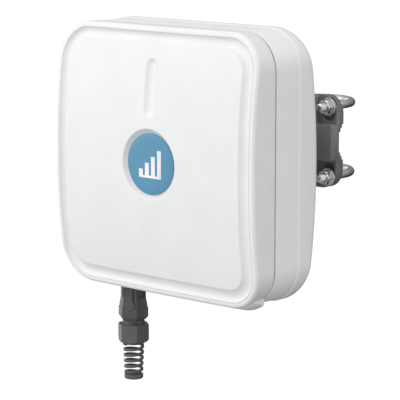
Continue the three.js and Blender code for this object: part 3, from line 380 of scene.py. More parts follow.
def moulded(name, dark, light, rough, grain, depth, specular=0.5):
    """Moulded plastic: slight colour drift, patchy gloss and a fine spark-eroded grain."""
    finish = Finish(name)
    finish.shader.inputs["Specular IOR Level"].default_value = specular
    finish.colour(finish.noise(28, 4), dark, light)
    finish.roughness(finish.noise(90, 3), rough - 0.05, rough + 0.05)
    finish.bump(finish.noise(grain, 2, 0.5), 0.35, depth)
    return finish.material


def metal(name, dark, light, low, high, grain, depth):
    """Plated or rolled metal: cloudy colour, uneven polish and fine pitting."""
    finish = Finish(name)
    finish.shader.inputs["Metallic"].default_value = 1
    finish.colour(finish.noise(160, 5, 0.65), dark, light)
    finish.roughness(finish.noise(420, 4), low, high)
    finish.bump(finish.noise(grain, 3), 0.3, depth)
    return finish.material


def lacquered_board():
    """Green solder mask over copper tracks that show as a faint relief."""
    finish = Finish("board")
    finish.colour(finish.noise(600, 2), (0.012, 0.1, 0.04), (0.025, 0.16, 0.065))
    finish.roughness(finish.noise(200), 0.3, 0.45)
    finish.bump(finish.noise(900, 1), 0.3, 0.05)
    return finish.material


FINISHES = {
    "moulded_white": moulded("moulded_white", (0.835, 0.84, 0.845), (0.86, 0.865, 0.87), 0.42, 2600, 0.03),
    "badge_blue": moulded("badge_blue", (0.08, 0.265, 0.43), (0.09, 0.29, 0.46), 0.3, 3000, 0.015),
    "badge_white": moulded("badge_white", (0.84, 0.85, 0.86), (0.88, 0.885, 0.89), 0.35, 3000, 0.015),
    "gland_plastic": moulded("gland_plastic", (0.08, 0.081, 0.084), (0.102, 0.103, 0.106), 0.38, 2400, 0.03),
    "bracket_plastic": moulded("bracket_plastic", (0.145, 0.147, 0.151), (0.175, 0.177, 0.181), 0.5, 1800,
                               0.05),
    "rubber": moulded("rubber", (0.012, 0.012, 0.012), (0.022, 0.022, 0.022), 0.75, 2600, 0.05, 0.3),
    "zinc_steel": metal("zinc_steel", (0.62, 0.63, 0.64), (0.78, 0.79, 0.8), 0.2, 0.3, 900, 0.01),
    "aluminium_sheet": metal("aluminium_sheet", (0.62, 0.63, 0.64), (0.76, 0.77, 0.78), 0.28, 0.42, 900,
                             0.03),
    "brass": metal("brass", (0.62, 0.46, 0.2), (0.78, 0.6, 0.3), 0.25, 0.4, 1200, 0.03),
    "board": lacquered_board(),
}


def stand_for(piece, node):
    """The piece takes the place, body and finish of a CAD node."""
    piece.data.materials.clear()
    piece.data.materials.append(FINISHES[SLOT_OF[node]])
    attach(piece, BODY_OF[node])
    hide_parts(node)
    return piece


# ---------------------------------------------------------------- enclosure surfaces


def cover_front(x, z):
    rise_z = BULGE_Z * (1 - (abs(z) / HALF) ** BULGE_Z_POWER)
    rise_x = BULGE_X * (1 - (abs(x) / HALF) ** BULGE_X_POWER)
    return SEAM - (COVER_DEPTH + rise_z + rise_x)


def housing_back(x, z):
    return SEAM + BACK_DEPTH + BACK_BULGE * (1 - (z / HALF) ** 2)


def outline(inset, depth, corner_steps=24, side_steps=20):
    """Ring round the enclosure at an inset, with y from a function of x and z."""
    corner = CORNER - inset
    centre = HALF - CORNER
    ring = []
    for side, (sx, sz) in enumerate(((1, 1), (-1, 1), (-1, -1), (1, -1))):
        for i in range(corner_steps + 1):
            angle = math.radians(90 * (side + i / corner_steps))
            ring.append((sx * centre + corner * math.cos(angle), sz * centre + corner * math.sin(angle)))
        last = ring[-1]
        nx, nz = ((-1, 1), (-1, -1), (1, -1), (1, 1))[side]
        turn = math.radians(90 * (side + 1))
        following = (nx * centre + corner * math.cos(turn), nz * centre + corner * math.sin(turn))
        for i in range(1, side_steps):
            share = i / side_steps
            ring.append(tuple(a + (b - a) * share for a, b in zip(last, following)))
    return [(x, depth(x, z), z) for x, z in ring]


def behind_front(drop):
    return lambda x, z: cover_front(x, z) + drop


def behind_back(drop):
    return lambda x, z: housing_back(x, z) - drop


def at_depth(y):
    return lambda x, z: SEAM + y


def from_square(x, z, half, corner):
    """Distance outside a square with round corners; negative inside."""
    u = abs(x) - (half - corner)
    v = abs(z) - (half - corner)
    return math.hypot(max(u, 0), max(v, 0)) + min(max(u, v), 0) - corner


def field(inset, curves, height, spacing=6):
    """Triangulated field inside an inset ring: the points it adds to the ring's own, and its faces."""
    rim = [(x, z) for x, _, z in outline(inset, height)]
    flat, edges = [], []
    for loop in (rim, *curves):
        start = len(flat)
        flat += [Vector(p) for p in loop]
        edges += [(start + i, start + (i + 1) % len(loop)) for i in range(len(loop))]
    tree = KDTree(len(flat))
    for i, p in enumerate(flat):
        tree.insert((p.x, p.y, 0), i)
    tree.balance()
    reach = int(HALF / spacing)
    for i in range(-reach, reach + 1):
        for j in range(-reach, reach + 1):
            x, z = i * spacing, j * spacing
            inside = from_square(x, z, HALF - inset, CORNER - inset) < -spacing / 2
            if inside and tree.find((x, z, 0))[2] > spacing / 2:
                flat.append(Vector((x, z)))
    made, _, faces, origins, _, _ = delaunay_2d_cdt(flat, edges, [], 0, 1e-5)
    place = {}
    points = []
    for i, (p, origin) in enumerate(zip(made, origins)):
        if origin and origin[0] < len(rim):
            place[i] = origin[0]
        else:
            place[i] = len(rim) + len(points)
            points.append((p.x, height(p.x, p.y), p.y))
    return points, [tuple(place[i] for i in face) for face in faces]


def enclosure_shell(rings, first_field, last_field):
    """A shell from rings whose first and last are filled by fields."""
    count = len(rings[0])
    points, faces = skin(rings)
    faces = faces[:-2]
    for ring_start, (more, more_faces) in ((0, first_field), ((len(rings) - 1) * count, last_field)):
        start = len(points)
        points += more
        for face in more_faces:
            faces.append(tuple(ring_start + i if i < count else start + i - count for i in face))
    return points, faces


def fours(at):
    return ((at, at), (-at, at), (-at, -at), (at, -at))


# ---------------------------------------------------------------- front cover

CHANNEL_RADIUS = (CHANNEL_HALF ** 2 + CHANNEL_DEPTH ** 2) / (2 * CHANNEL_DEPTH)
SLOT_REACH = (SLOT_HEIGHT - SLOT_WIDTH) / 2
SLOT_RADIUS = ((SLOT_WIDTH / 2) ** 2 + SLOT_DEPTH ** 2) / (2 * SLOT_DEPTH)
BADGE_FLOOR = cover_front(0, BADGE_Z) + BADGE_RECESS
BADGE_FLOOR_EDGE = 28.9
BADGE_FILLET = 32.1
BADGE_MOUTH = 33.1


def slot_depth(x, z):
    d = math.hypot(x, max(abs(z - SLOT_Z) - SLOT_REACH, 0))
    bowl = lambda r: math.sqrt(SLOT_RADIUS ** 2 - r ** 2) - (SLOT_RADIUS - SLOT_DEPTH)
    if d <= SLOT_EDGE:
        return bowl(d)
    return bowl(SLOT_EDGE) * (max(SLOT_EDGE + 0.9 - d, 0) / 0.9) ** 2


def badge_depth(x, z):
    r = math.hypot(x, z - BADGE_Z)
    whole = BADGE_FLOOR - cover_front(x, z)
    cove = lambda s: whole * (1 - ((s - BADGE_FLOOR_EDGE) / 3.5) ** 1.6)
    if r <= BADGE_FLOOR_EDGE:
        return whole
    if r <= BADGE_FILLET:
        return cove(r)
    return cove(BADGE_FILLET) * (max(BADGE_MOUTH - r, 0) / (BADGE_MOUTH - BADGE_FILLET)) ** 2


def panel_front(x, z):
    return cover_front(x, z) + slot_depth(x, z) + badge_depth(x, z)


def cover_inside(x, z):
    """Inner face, thickened behind the badge and the slot."""
    wall = WALL + 0.2
    if math.hypot(x, z - BADGE_Z) < 36:
        return BADGE_FLOOR + wall
    if math.hypot(x, max(abs(z - SLOT_Z) - SLOT_REACH, 0)) < 10:
        return cover_front(x, z) + SLOT_DEPTH + wall
    return cover_front(x, z) + 4.5


def capsule(radius, steps=18):
    """Loop at a distance from the slot's centre line."""
    loop = []
    for end in (1, -1):
        for i in range(steps + 1):
            angle = math.pi * i / steps + (0 if end > 0 else math.pi)
            loop.append((radius * math.cos(angle), SLOT_Z + end * SLOT_REACH + radius * math.sin(angle)))
        for i in range(1, 12):
            share = 1 - 2 * i / 12
            loop.append((-end * radius, SLOT_Z + end * share * SLOT_REACH))
    return loop


def panel_profile():
    """(inset, drop) pairs from the panel's edge over the channel, the crease and the rim."""
    profile = [(18.75, 0), (18.6, 0.03), (18.45, 0.12)]
    for i in range(17):
        t = 0.95 * (1 - i / 8)
        drop = math.sqrt(CHANNEL_RADIUS ** 2 - (CHANNEL_HALF * t) ** 2) - (CHANNEL_RADIUS - CHANNEL_DEPTH)
        profile.append((CHANNEL_MIDDLE + CHANNEL_HALF * t, drop))
    profile += [(CREASE_INSET + 0.3, 0.12), (CREASE_INSET, CREASE_DEPTH), (CREASE_INSET - 0.3, 0.1)]
    profile.append((5.4, -0.12))
    for i in range(11):
        turn = math.radians(9 * i)
        profile.append((3.7 - 2.7 * math.sin(turn), -0.15 + 3.4 * (1 - math.cos(turn))))
    return profile


def drip_lip():
    """Lip round the bottom that deepens towards the seam, with blunt ends on the corner arcs."""
    centre = HALF - CORNER
    corner = CORNER - SEAM_INSET
    start = 48
    spine = []
    for i in range(19):
        spine.append((centre, math.radians(-start - (90 - start) * i / 18)))
    for i in range(1, 24):
        spine.append((centre - 2 * centre * i / 24, math.radians(-90)))
    for i in range(19):
        spine.append((-centre, math.radians(-90 - (90 - start) * i / 18)))
    section = ((-1.5, -15.6), (0.3, -15.9), (1, -15.3), (4.85, -1), (4.9, -0.5), (4.5, 0), (-1.5, 0))
    rings = []
    for x, angle in spine:
        ring = []
        for off, y in section:
            across = math.cos(angle) * corner
            down = math.sqrt((corner + off) ** 2 - across ** 2)
            ring.append((x + across, SEAM + y, -centre - down))
        rings.append(ring)
    return skin(rings)


def front_cover():
    rings = [outline(PANEL_INSET, behind_front(0))]
    rings += [outline(inset, behind_front(drop)) for inset, drop in panel_profile()]
    rings += [outline(SEAM_INSET, at_depth(-0.35)), outline(SEAM_INSET + 0.35, at_depth(0))]
    rings += [outline(4.7, at_depth(0)), outline(4.7, behind_front(8.3)), outline(7.7, behind_front(6.8))]
    rings += [outline(19.5, behind_front(6.8)), outline(23, behind_front(4.5))]
    badge = [circle(0, BADGE_Z, r, 120)
             for r in (28.9, 29.3, 29.8, 30.4, 31, 31.6, 32.1, 32.35, 32.6, 32.85, 33.1, 34.4)]
    slot = [capsule(r) for r in (1.2, 2.4, 3.6, 4.8, 5.6, 6.1, 6.4, 6.7, 7, 8.2)]
    backing = [circle(0, BADGE_Z, r, 60) for r in (35.9, 36.2)] + [capsule(9.9), capsule(10.2)]
    front = field(PANEL_INSET, badge + slot, panel_front, 5)
    back = field(23, backing, cover_inside, 9)
    shell = enclosure_shell(rings, front, back)
    bosses = [skin(around("y", (x, z), [(y, COVER_BOSS_RADIUS) for y in (cover_front(x, z) + 6, SEAM)], 24))
              for x, z in fours(COVER_SCREW_AT)]
    return smooth(joined("cover_shell", shell, drip_lip(), *bosses), 40)


def badge():
    face = BADGE_FLOOR - PLAY - BADGE_THICKNESS
    disc = around("y", (0, BADGE_Z), [
        (BADGE_FLOOR - PLAY, BADGE_RADIUS), (face + 0.5, BADGE_RADIUS), (face + 0.22, BADGE_RADIUS - 0.08),
        (face + 0.06, BADGE_RADIUS - 0.25), (face, BADGE_RADIUS - 0.5), (face, BADGE_RADIUS - 6),
    ], 120)
    stand_for(smooth(joined("label_disc", skin(disc)), 60), "badge_disc")
    low, high = (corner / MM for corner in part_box("badge_mark"))
    back = high.y
    thick = high.y - low.y
    width, pitch = 5, 7.6
    foot = 2.4
    bars = [8, 14, 20, 26]
    shells = [extruded("y", rounded(0, low.z + foot / 2, high.x, foot / 2, 0.5, 4), back - thick, back)]
    for i, tall in enumerate(bars):
        middle = low.x + i * pitch + width / 2
        loop = rounded(middle, low.z + tall / 2, width / 2, tall / 2, 0.7, 5)
        shells.append(extruded("y", loop, back - thick, back))
    mark = shaped("label_mark", shells[0], *[("UNION", shell) for shell in shells[1:]])
    stand_for(smooth(eased(mark, 0.12, 2)), "badge_mark")


# ---------------------------------------------------------------- back housing


# place, radius and top of the posts inside
HOUSING_POSTS = (
    (COVER_SCREW_AT, COVER_POST_RADIUS, GASKET),
    (REFLECTOR_POST_AT, REFLECTOR_POST_RADIUS, REFLECTOR_POST_TOP),
    (PLATE_SCREW_AT, PLATE_POST_RADIUS, PAD_Y - PLATE_POST_DEPTH),
)


def well_bottom(x, z):
    for px, pz in fours(COVER_SCREW_AT):
        if math.hypot(x - px, z - pz) < 4.95:
            return SEAM + COVER_SCREW_SEAT
    return None


def housing_outside(x, z):
    bottom = well_bottom(x, z)
    if bottom is not None:
        return bottom
    base = housing_back(x, z) - PLAY
    out = from_square(x, z, PAD_HALF, PAD_CORNER)
    rise = min(max((0.3 - out) / 1.3, 0), 1)
    rise = rise * rise * (3 - 2 * rise)
    return base + (SEAM + PAD_Y - base) * rise


def housing_inside(x, z):
    """Inner face with the posts for the cover screws, the reflector and the mounting plate."""
    for at, radius, top in HOUSING_POSTS:
        for px, pz in fours(at):
            if math.hypot(x - px, z - pz) < radius + 0.05:
                return SEAM + top
    return housing_back(x, z) - WALL - PLAY


def back_housing():
    side = ((SEAM_INSET + 0.2, GASKET), (SEAM_INSET, GASKET + 0.35), (1, STEP_Y - 0.6), (0.9, STEP_Y),
            (0.5, STEP_Y + 0.6), (0.1, STEP_Y + 1.2), (0, STEP_Y + 2))
    outer = [outline(inset, at_depth(y)) for inset, y in side]
    for i in range(13):
        turn = math.radians(7.5 * i)
        inset = ROUNDING_INSET * (1 - math.cos(turn))
        outer.append(outline(inset, behind_back(ROUNDING_DROP - (ROUNDING_DROP - PLAY) * math.sin(turn))))
    inner = [outline(12, behind_back(WALL + PLAY)), outline(6, behind_back(5)), outline(4, behind_back(10)),
             outline(4, at_depth(STEP_Y)), outline(4.7, at_depth(GASKET))]
    wells = [circle(x, z, r, 40) for x, z in fours(COVER_SCREW_AT) for r in (4.9, 5.0, 5.5)]
    pad = [rounded(0, 0, PAD_HALF + grow, PAD_HALF + grow, PAD_CORNER + grow, 8)
           for grow in (-1, -0.6, -0.2, 0.1, 0.3)]
    posts = [circle(x, z, r + edge, 24) for at, r, _ in HOUSING_POSTS
             for x, z in fours(at) for edge in (0, 0.15)]
    outside = field(ROUNDING_INSET, wells + pad, housing_outside, 7)
    inside = field(12, posts, housing_inside, 9)
    shell = enclosure_shell(outer[::-1] + inner[::-1], outside, inside)
    gland_pad = skin(around("z", GLAND, [
        (-121.5, 15.9), (-125.4, 15.5), (-125.85, 15.3), (GLAND_TOP, 14.9), (GLAND_TOP, 10.3), (-121.5, 10.3),
    ]), loop=True)
    return smooth(joined("rear_shell", shell, gland_pad), 40)


def gasket():
    outer = SEAM_INSET + 1.7
    ring = lambda inset, y: outline(inset, at_depth(y))
    rings = [ring(outer + 0.2, 0.1), ring(outer, 0.5), ring(outer, 1.1), ring(outer + 0.2, 1.5),
             ring(5.7, 1.5), ring(5.7, 0.1)]
    return smooth(joined("seal_ring", skin(rings, loop=True)))


# ---------------------------------------------------------------- fasteners


def chamfered(across_flats):
    """A hexagon's radius at its end face, half way down its chamfer, and below it."""
    end_face = across_flats / 2 * 0.97
    middle = (across_flats / math.sqrt(3) + end_face) / 2
    return hexagon(across_flats, 0, end_face), hexagon(across_flats, 0, middle), hexagon(across_flats)


def nut(axis, centre, start, end, across_flats=NUT_AF, bore=BOLT + 0.1):
    """Hexagonal nut with chamfered corners and a countersunk bore, between two places on its axis."""
    cut, half, plain = chamfered(across_flats)
    chamfer = 0.7
    outer = [(start, cut), (start + chamfer / 2, half), (start + chamfer, plain),
             (end - chamfer, plain), (end - chamfer / 2, half), (end, cut)]
    inner = [(end, bore + 0.5), (end - 0.5, bore), (start + 0.5, bore), (start, bore + 0.5)]
    return skin(around(axis, centre, outer + inner), loop=True)


def washer(axis, centre, start, end, radius=WASHER_RADIUS, bore=BOLT + PLAY):
    soft = 0.3
    outer = [(start, radius - soft), (start + soft, radius), (end - soft, radius), (end, radius - soft)]
    inner = [(end, bore + soft), (end - soft, bore), (start + soft, bore), (start, bore + soft)]
    return skin(around(axis, centre, outer + inner), loop=True)


def threaded(axis, centre, start, end, radius, pitch, depth=THREAD_DEPTH, steps=8, count=48):
    """Threaded rod with chamfered ends, between two places on its axis."""
    length = end - start
    stations = int(length / pitch * steps)
    rings = []
    for k in range(stations + 1):
        along = start + length * k / stations
        near = min(along - start, end - along)
        chamfer = max(1 - near, 0)

        def ridge(angle, along=along, chamfer=chamfer):
            phase = (along / pitch - angle / 360) % 1
            return radius - depth * abs(2 * phase - 1) - chamfer * 0.8
        rings.append((along, ridge))
    return skin(around(axis, centre, rings, count))


def headed_bolt(axis, centre, head_from, head_to, tip):
    """Hexagon-head bolt whose head lies between two places, with a threaded shank to its tip."""
    low, high = min(head_from, head_to), max(head_from, head_to)
    cut, half, plain = chamfered(NUT_AF)
    sections = [(low, cut), (low + 0.35, half), (low + 0.7, plain), (high - 0.7, plain), (high - 0.35, half),
                (high, cut)]
    head = skin(around(axis, centre, sections))
    near = high if tip > high else low
    toward = 1 if tip > near else -1
    thread_start = tip - toward * 14
    shank = skin(around(axis, centre, [(near - toward * 0.5, BOLT), (thread_start + toward * 0.2, BOLT)], 48))
    ends = sorted((thread_start, tip))
    return [head, shank, threaded(axis, centre, *ends, BOLT, THREAD_PITCH)]


def socket_screw(x, z, seat, radius, head_radius, head_height, length):
    """Socket-head screw that points forward, with the underside of its head at a y place."""
    top = seat + head_height
    socket = hexagon(head_radius * 1.1)
    sections = [
        (seat - length, radius * 0.6), (seat - length + 0.8, radius), (seat, radius), (seat, head_radius),
        (top - 0.5, head_radius), (top - 0.15, head_radius - 0.15), (top, head_radius - 0.5),
        (top, socket), (top - head_height * 0.55, socket), (top - head_height * 0.6, 0.01),
    ]
    return skin(around("y", (x, z), sections, 72))


def fasteners():
    for row, z in (("upper", U_BOLT_Z), ("lower", -U_BOLT_Z)):
        for side, x in (("left", -BEND), ("right", BEND)):
            tag = f"{row}_{side}"
            disc = washer("y", (x, z), EAR_FRONT - 0.1 - WASHER, EAR_FRONT - 0.1)
            back = EAR_FRONT - WASHER - 0.2
            ring = nut("y", (x, z), back - NUT_HEIGHT, back)
            stand_for(smooth(joined("flat_washer_" + tag, disc)), "clamp_washer_" + tag)
            stand_for(smooth(joined("hex_nut_" + tag, ring)), "clamp_nut_" + tag)
    for side, sign in (("left", -1), ("right", 1)):
        ends = sorted((sign * (LUG_OUT + STACK_GAP), sign * (LUG_OUT + STACK_GAP + WASHER)))
        disc = washer("x", TILT, *ends)
        stand_for(smooth(joined("tilt_disc_" + side, disc)), "tilt_washer_" + side)
    for side, sign in (("upper", 1), ("lower", -1)):
        ends = sorted((sign * (PAN_LUG_OUT + STACK_GAP), sign * (PAN_LUG_OUT + STACK_GAP + WASHER)))
        disc = washer("z", PAN, *ends)
        stand_for(smooth(joined("pan_disc_" + side, disc)), "pan_washer_" + side)
    seat = LUG_OUT + WASHER + 2 * STACK_GAP
    bolt = headed_bolt("x", TILT, -seat - HEAD_HEIGHT, -seat, seat + NUT_HEIGHT + 3)
    stand_for(smooth(joined("tilt_pivot", *bolt)), "tilt_bolt")
    stand_for(smooth(joined("tilt_lock", nut("x", TILT, seat, seat + NUT_HEIGHT))), "tilt_nut")
    seat = PAN_LUG_OUT + WASHER + 2 * STACK_GAP
    bolt = headed_bolt("z", PAN, seat, seat + HEAD_HEIGHT, -seat - NUT_HEIGHT - 3)
    stand_for(smooth(joined("pan_pivot", *bolt)), "pan_bolt")
    stand_for(smooth(joined("pan_lock", nut("z", PAN, -seat - NUT_HEIGHT, -seat))), "pan_nut")
    for i, (x, z) in enumerate(fours(COVER_SCREW_AT), 1):
        screw = socket_screw(x, z, SEAM + COVER_SCREW_SEAT + 0.1, 2, 3.8, 3.2, 44)
        stand_for(smooth(joined(f"shell_screw_{i}", screw)), f"cover_screw_{i}")
    for i, (x, z) in enumerate(fours(PLATE_SCREW_AT), 1):
        screw = socket_screw(x, z, SEAM + PAD_Y + 6.3, 2.5, 4.4, 4, 20)
        stand_for(smooth(joined(f"plate_screw_{i}", screw)), f"mount_screw_{i}")


def u_bolt(z):
    """Bent rod with a helical thread on both legs."""
    leg_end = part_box("u_bolt_upper")[0].y / MM
    thread_to, count = -8, 32
    rings = []

    def ring(centre, out, along):
        made = []
        for i in range(count):
            angle = 2 * math.pi * i / count
            radius = BOLT
            if along is not None:
                phase = (along / THREAD_PITCH - i / count) % 1
                radius = BOLT - THREAD_DEPTH * abs(2 * phase - 1) - 0.8 * max(1 - (along - leg_end), 0)
            side = radius * math.cos(angle)
            made.append((centre[0] + out[0] * side, centre[1] + out[1] * side, z + radius * math.sin(angle)))
        return made

    stations = int((thread_to - leg_end) / THREAD_PITCH * 7)
    places = [leg_end + (thread_to - leg_end) * k / stations for k in range(stations + 1)]
    rings += [ring((BEND, y), (1, 0), y) for y in places]
    rings += [ring((BEND, thread_to + 0.4), (1, 0), None)]
    for k in range(49):
        turn = math.pi * k / 48
        out = (math.cos(turn), math.sin(turn))
        rings.append(ring((BEND * out[0], BEND * out[1]), out, None))
    rings += [ring((-BEND, thread_to + 0.4), (-1, 0), None)]
    rings += [ring((-BEND, y), (-1, 0), y) for y in reversed(places)]
    return skin(rings)


# ---------------------------------------------------------------- cable gland


def plaque(loop, angle, reach, thickness):
    """Raised shape on a facet of the gland: a loop of (across, z), the facet's angle and its distance out."""
    turn = math.radians(angle)
    out = Vector((math.cos(turn), math.sin(turn)))
    across = Vector((-out.y, out.x))
    rings = []
    for depth, shrink in ((-2, 1), (thickness - 0.35, 1), (thickness, 0.93)):
        middle_z = sum(v for _, v in loop) / len(loop)
        ring = []
        for u, v in loop:
            p = Vector(GLAND) + out * (reach + depth) + across * (u * shrink)
            ring.append((p.x, p.y, middle_z + (v - middle_z) * shrink))
        rings.append(ring)
    return skin(rings)


def tongue_loop():
    """Strip with a round bulb at its lower end."""
    half, bulb, top, low = 3.3, 5.5, -133.2, -150.3
    start = math.acos(half / bulb)
    loop = [(half, top), (-half, top)]
    for i in range(25):
        angle = math.pi - start + (math.pi + 2 * start) * i / 24
        loop.append((bulb * math.cos(angle), low + bulb * math.sin(angle)))
    return loop


def gland_body():
    """Hexagonal body that flares from its neck into a band, with a threaded ring below and a plain round tube
    above.
    """
    hexed = lambda af, limit=math.inf: hexagon(af, GLAND_CORNER_ANGLE, limit)
    sections = [(-112, 10), (-127.9, 10), (-127.9, 12.6), (-128.3, 13), (-131.2, 13), (-131.7, 12.6)]
    sections += [(-131.8, hexed(21.4, 12.2)), (-132.6, hexed(GLAND_NECK_AF)), (-142.4, hexed(GLAND_NECK_AF))]
    for i in range(1, 9):
        share = i / 8
        flare = 2.6 * share * share * (3 - 2 * share)
        sections.append((-142.4 - 9.4 * share, hexed(GLAND_NECK_AF + flare)))
    sections += [(-152.6, hexed(24.7)), (-153.2, hexed(GLAND_BAND_AF)), (-161.8, hexed(GLAND_BAND_AF)),
                 (-162.4, hexed(25.4)), (-164.2, hexed(22.6, 12.7)), (GLAND_BODY_BOTTOM, hexed(21.8, 12.2)),
                 (GLAND_BODY_BOTTOM, GLAND_RING_RADIUS)]
    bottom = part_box("gland_body")[0].z / MM
    for k in range(int((GLAND_BODY_BOTTOM - bottom) / 0.25) - 1):
        along = GLAND_BODY_BOTTOM - 0.2 - k * 0.25
        phase = lambda angle, along=along: abs(2 * ((along / 1.5 + angle / 360) % 1) - 1)
        sections.append((along, lambda angle, phase=phase: GLAND_RING_RADIUS - 0.5 * phase(angle)))
    sections += [(bottom, 9.6), (bottom, 8.9), (-167.7, 8.9), (-168, 6.9), (-112, 6.9)]
    shell = skin(around("z", GLAND, sections, 144, GLAND_CORNER_ANGLE), loop=True)
    front = GLAND_CORNER_ANGLE - 90
    steps = [("UNION", plaque(tongue_loop(), front, 11.4, 2.1))]
    steps.append(("UNION", plaque(rounded(1.5, -138.6, 2.8, 4.6, 0.8, 5), front - 60, 11, 0.8)))
    for rib in (-156.6, -159.4):
        steps.append(("UNION", plaque(rounded(0, rib, 3.4, 0.45, 0.4, 4), front, 13, 0.4)))
    steps.append(("DIFFERENCE", plaque(rounded(0.5, -138.4, 4.6, 4.8, 0.8, 5), front + 60, 11.4, 1)))
    return smooth(shaped("gland_barrel", shell, *steps), 28)


def coil(top, end):
    """Spiral of flattened round wire between two heights, narrowing downwards."""
    steps = int(GUARD_TURNS * 40)
    rings = []
    for k in range(steps + 1):
        share = k / steps
        turn = math.radians(GUARD_START - 360 * GUARD_TURNS * share)
        outer = 10.5 - 1.2 * share
        ring = []
        for i in range(16):
            angle = 2 * math.pi * i / 16
            c, s = math.cos(angle), math.sin(angle)
            r = outer - 1.35 + 1.3 * math.copysign(abs(c) ** 0.75, c)
            z = top + (end - top) * share + 1.45 * math.copysign(abs(s) ** 0.75, s)
            ring.append((GLAND[0] + r * math.cos(turn), GLAND[1] + r * math.sin(turn), z))
        rings.append(ring)
    return skin(rings)


def gland_nut():
    """Hexagonal dome nut with the spiral bend guard and its end ring."""
    hexed = lambda limit=math.inf: hexagon(GLAND_NUT_AF, GLAND_CORNER_ANGLE, limit)
    top, bottom = GLAND_NUT_TOP + 0.6, GLAND_NUT_BOTTOM
    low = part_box("gland_nut")[0].z / MM + 0.8
    neck, ring_top = bottom - 1.6, low + 4.6
    outer = [(top, GLAND_RING_RADIUS + 0.8), (top, hexed(14.6)), (top - 0.5, hexed(15.1)), (top - 1, hexed()),
             (bottom + 4.4, hexed())]
    for i in range(1, 9):
        turn = math.radians(11.25 * i)
        outer.append((bottom + 4.2 - 4 * math.sin(turn), hexed(15.5 - 3.9 * (1 - math.cos(turn)))))
    outer += [(bottom, 11.4), (bottom - 0.7, 11.1), (neck + 0.3, 10.5), (neck, 10)]
    inner = [(neck, 6.4), (bottom + 0.2, 6.4), (bottom + 0.6, GLAND_RING_RADIUS + 0.2),
             (top - 1, GLAND_RING_RADIUS + 0.2)]
    dome = skin(around("z", GLAND, outer + inner, 144, GLAND_CORNER_ANGLE), loop=True)
    ring = skin(around("z", GLAND, [
        (ring_top, 6.5), (ring_top, 8.4), (ring_top - 0.6, 9), (ring_top - 1.4, 9.2), (low + 1.4, 9.2),
        (low + 0.5, 9), (low, 8.4), (low, 6.9), (low + 0.5, 6.5),
    ], 96), loop=True)
    wire = coil(neck + 0.2, ring_top - 0.6)
    return smooth(joined("dome_nut", dome, ring, wire), 28)


def gland_ring():
    outer = [(-126.1, 13.2), (-126.3, 13.5), (-127.3, 13.5), (-127.5, 13.2)]
    sections = outer + [(-127.5, 10.3), (-126.1, 10.3)]
    return smooth(joined("gland_seat", skin(around("z", GLAND, sections), loop=True)))


# ---------------------------------------------------------------- bracket


def lug_loop(front, reach, centre, half):
    """Loop of a straight-sided lug from a base at front to a round end about (reach, centre)."""
    toward = 1 if reach > front else -1
    loop = [(front, centre - half)]
    for i in range(33):
        angle = -math.pi / 2 + math.pi * i / 32
        loop.append((reach + toward * half * math.cos(angle), centre + half * math.sin(angle)))
    return loop + [(front, centre + half)]


def bore(axis, centre, start, end, radius=BOLT + PLAY):
    return ("DIFFERENCE", skin(around(axis, centre, [(start, radius), (end, radius)], 48)))


def mount_plate():
    front = SEAM + PAD_Y + 0.2
    back = front + PLATE_THICKNESS
    steps = []
    for sign in (-1, 1):
        ends = sorted((sign * 17, sign * LUG_OUT))
        steps.append(("UNION", extruded("x", lug_loop(front + 1, TILT[0], 0, 16), *ends)))
        near, far = sign * 24, sign * 37
        gusset = [(near, front + 1), (far, front + 1), (far, back + 1), (near, back + 16)]
        steps.append(("UNION", extruded("z", gusset, -2.5, 2.5)))
    steps.append(bore("x", TILT, -30, 30))
    steps += [bore("y", place, front - 2, back + 4, 2.8) for place in fours(PLATE_SCREW_AT)]
    plate = shaped("rear_plate", extruded("y", rounded(0, 0, 44, 44, 8, 12), front, back), *steps)
    return smooth(eased(plate, 0.6), 35)


def tilt_arm():
    front, rear = TILT[0], PAN[1]
    hub = skin(around("z", PAN, [(-9.7, 14), (9.7, 14)], 64))
    link = extruded("x", rounded((front + rear) / 2, 0, (rear - front) / 2, 9.7, 0.5, 2), -12, 12)
    pockets = [extruded("z", rounded(0, (front + rear) / 2 + 0.5, 8, 9.5, 2, 8), *span)
               for span in ((2, 12), (-12, -2))]
    barrel = skin(around("x", TILT, [(-16.7, 15), (16.7, 15)], 64))
    steps = [("UNION", link), ("UNION", hub), bore("x", TILT, -20, 20), bore("z", PAN, -12, 12)]
    steps += [("DIFFERENCE", pocket) for pocket in pockets]
    return smooth(eased(shaped("swing_arm", barrel, *steps), 0.5), 35)


def groove_loop(half, floor, depth, teeth):
    """Open notch with stair-like teeth on both flanks, as (across, y) pairs."""
    flank = []
    for i in range(teeth):
        near, far = half + (floor - half) * i / teeth, half + (floor - half) * (i + 1) / teeth
        flank.append((near, JAW_REAR - depth * i / teeth))
        flank.append((near + (far - near) * 0.3, JAW_REAR - depth * (i + 1) / teeth))
    flank.append((floor, JAW_REAR - depth))
    other = [(-u, v) for u, v in reversed(flank)]
    return [(half, JAW_REAR + 5), *flank, *other, (-half, JAW_REAR + 5)]


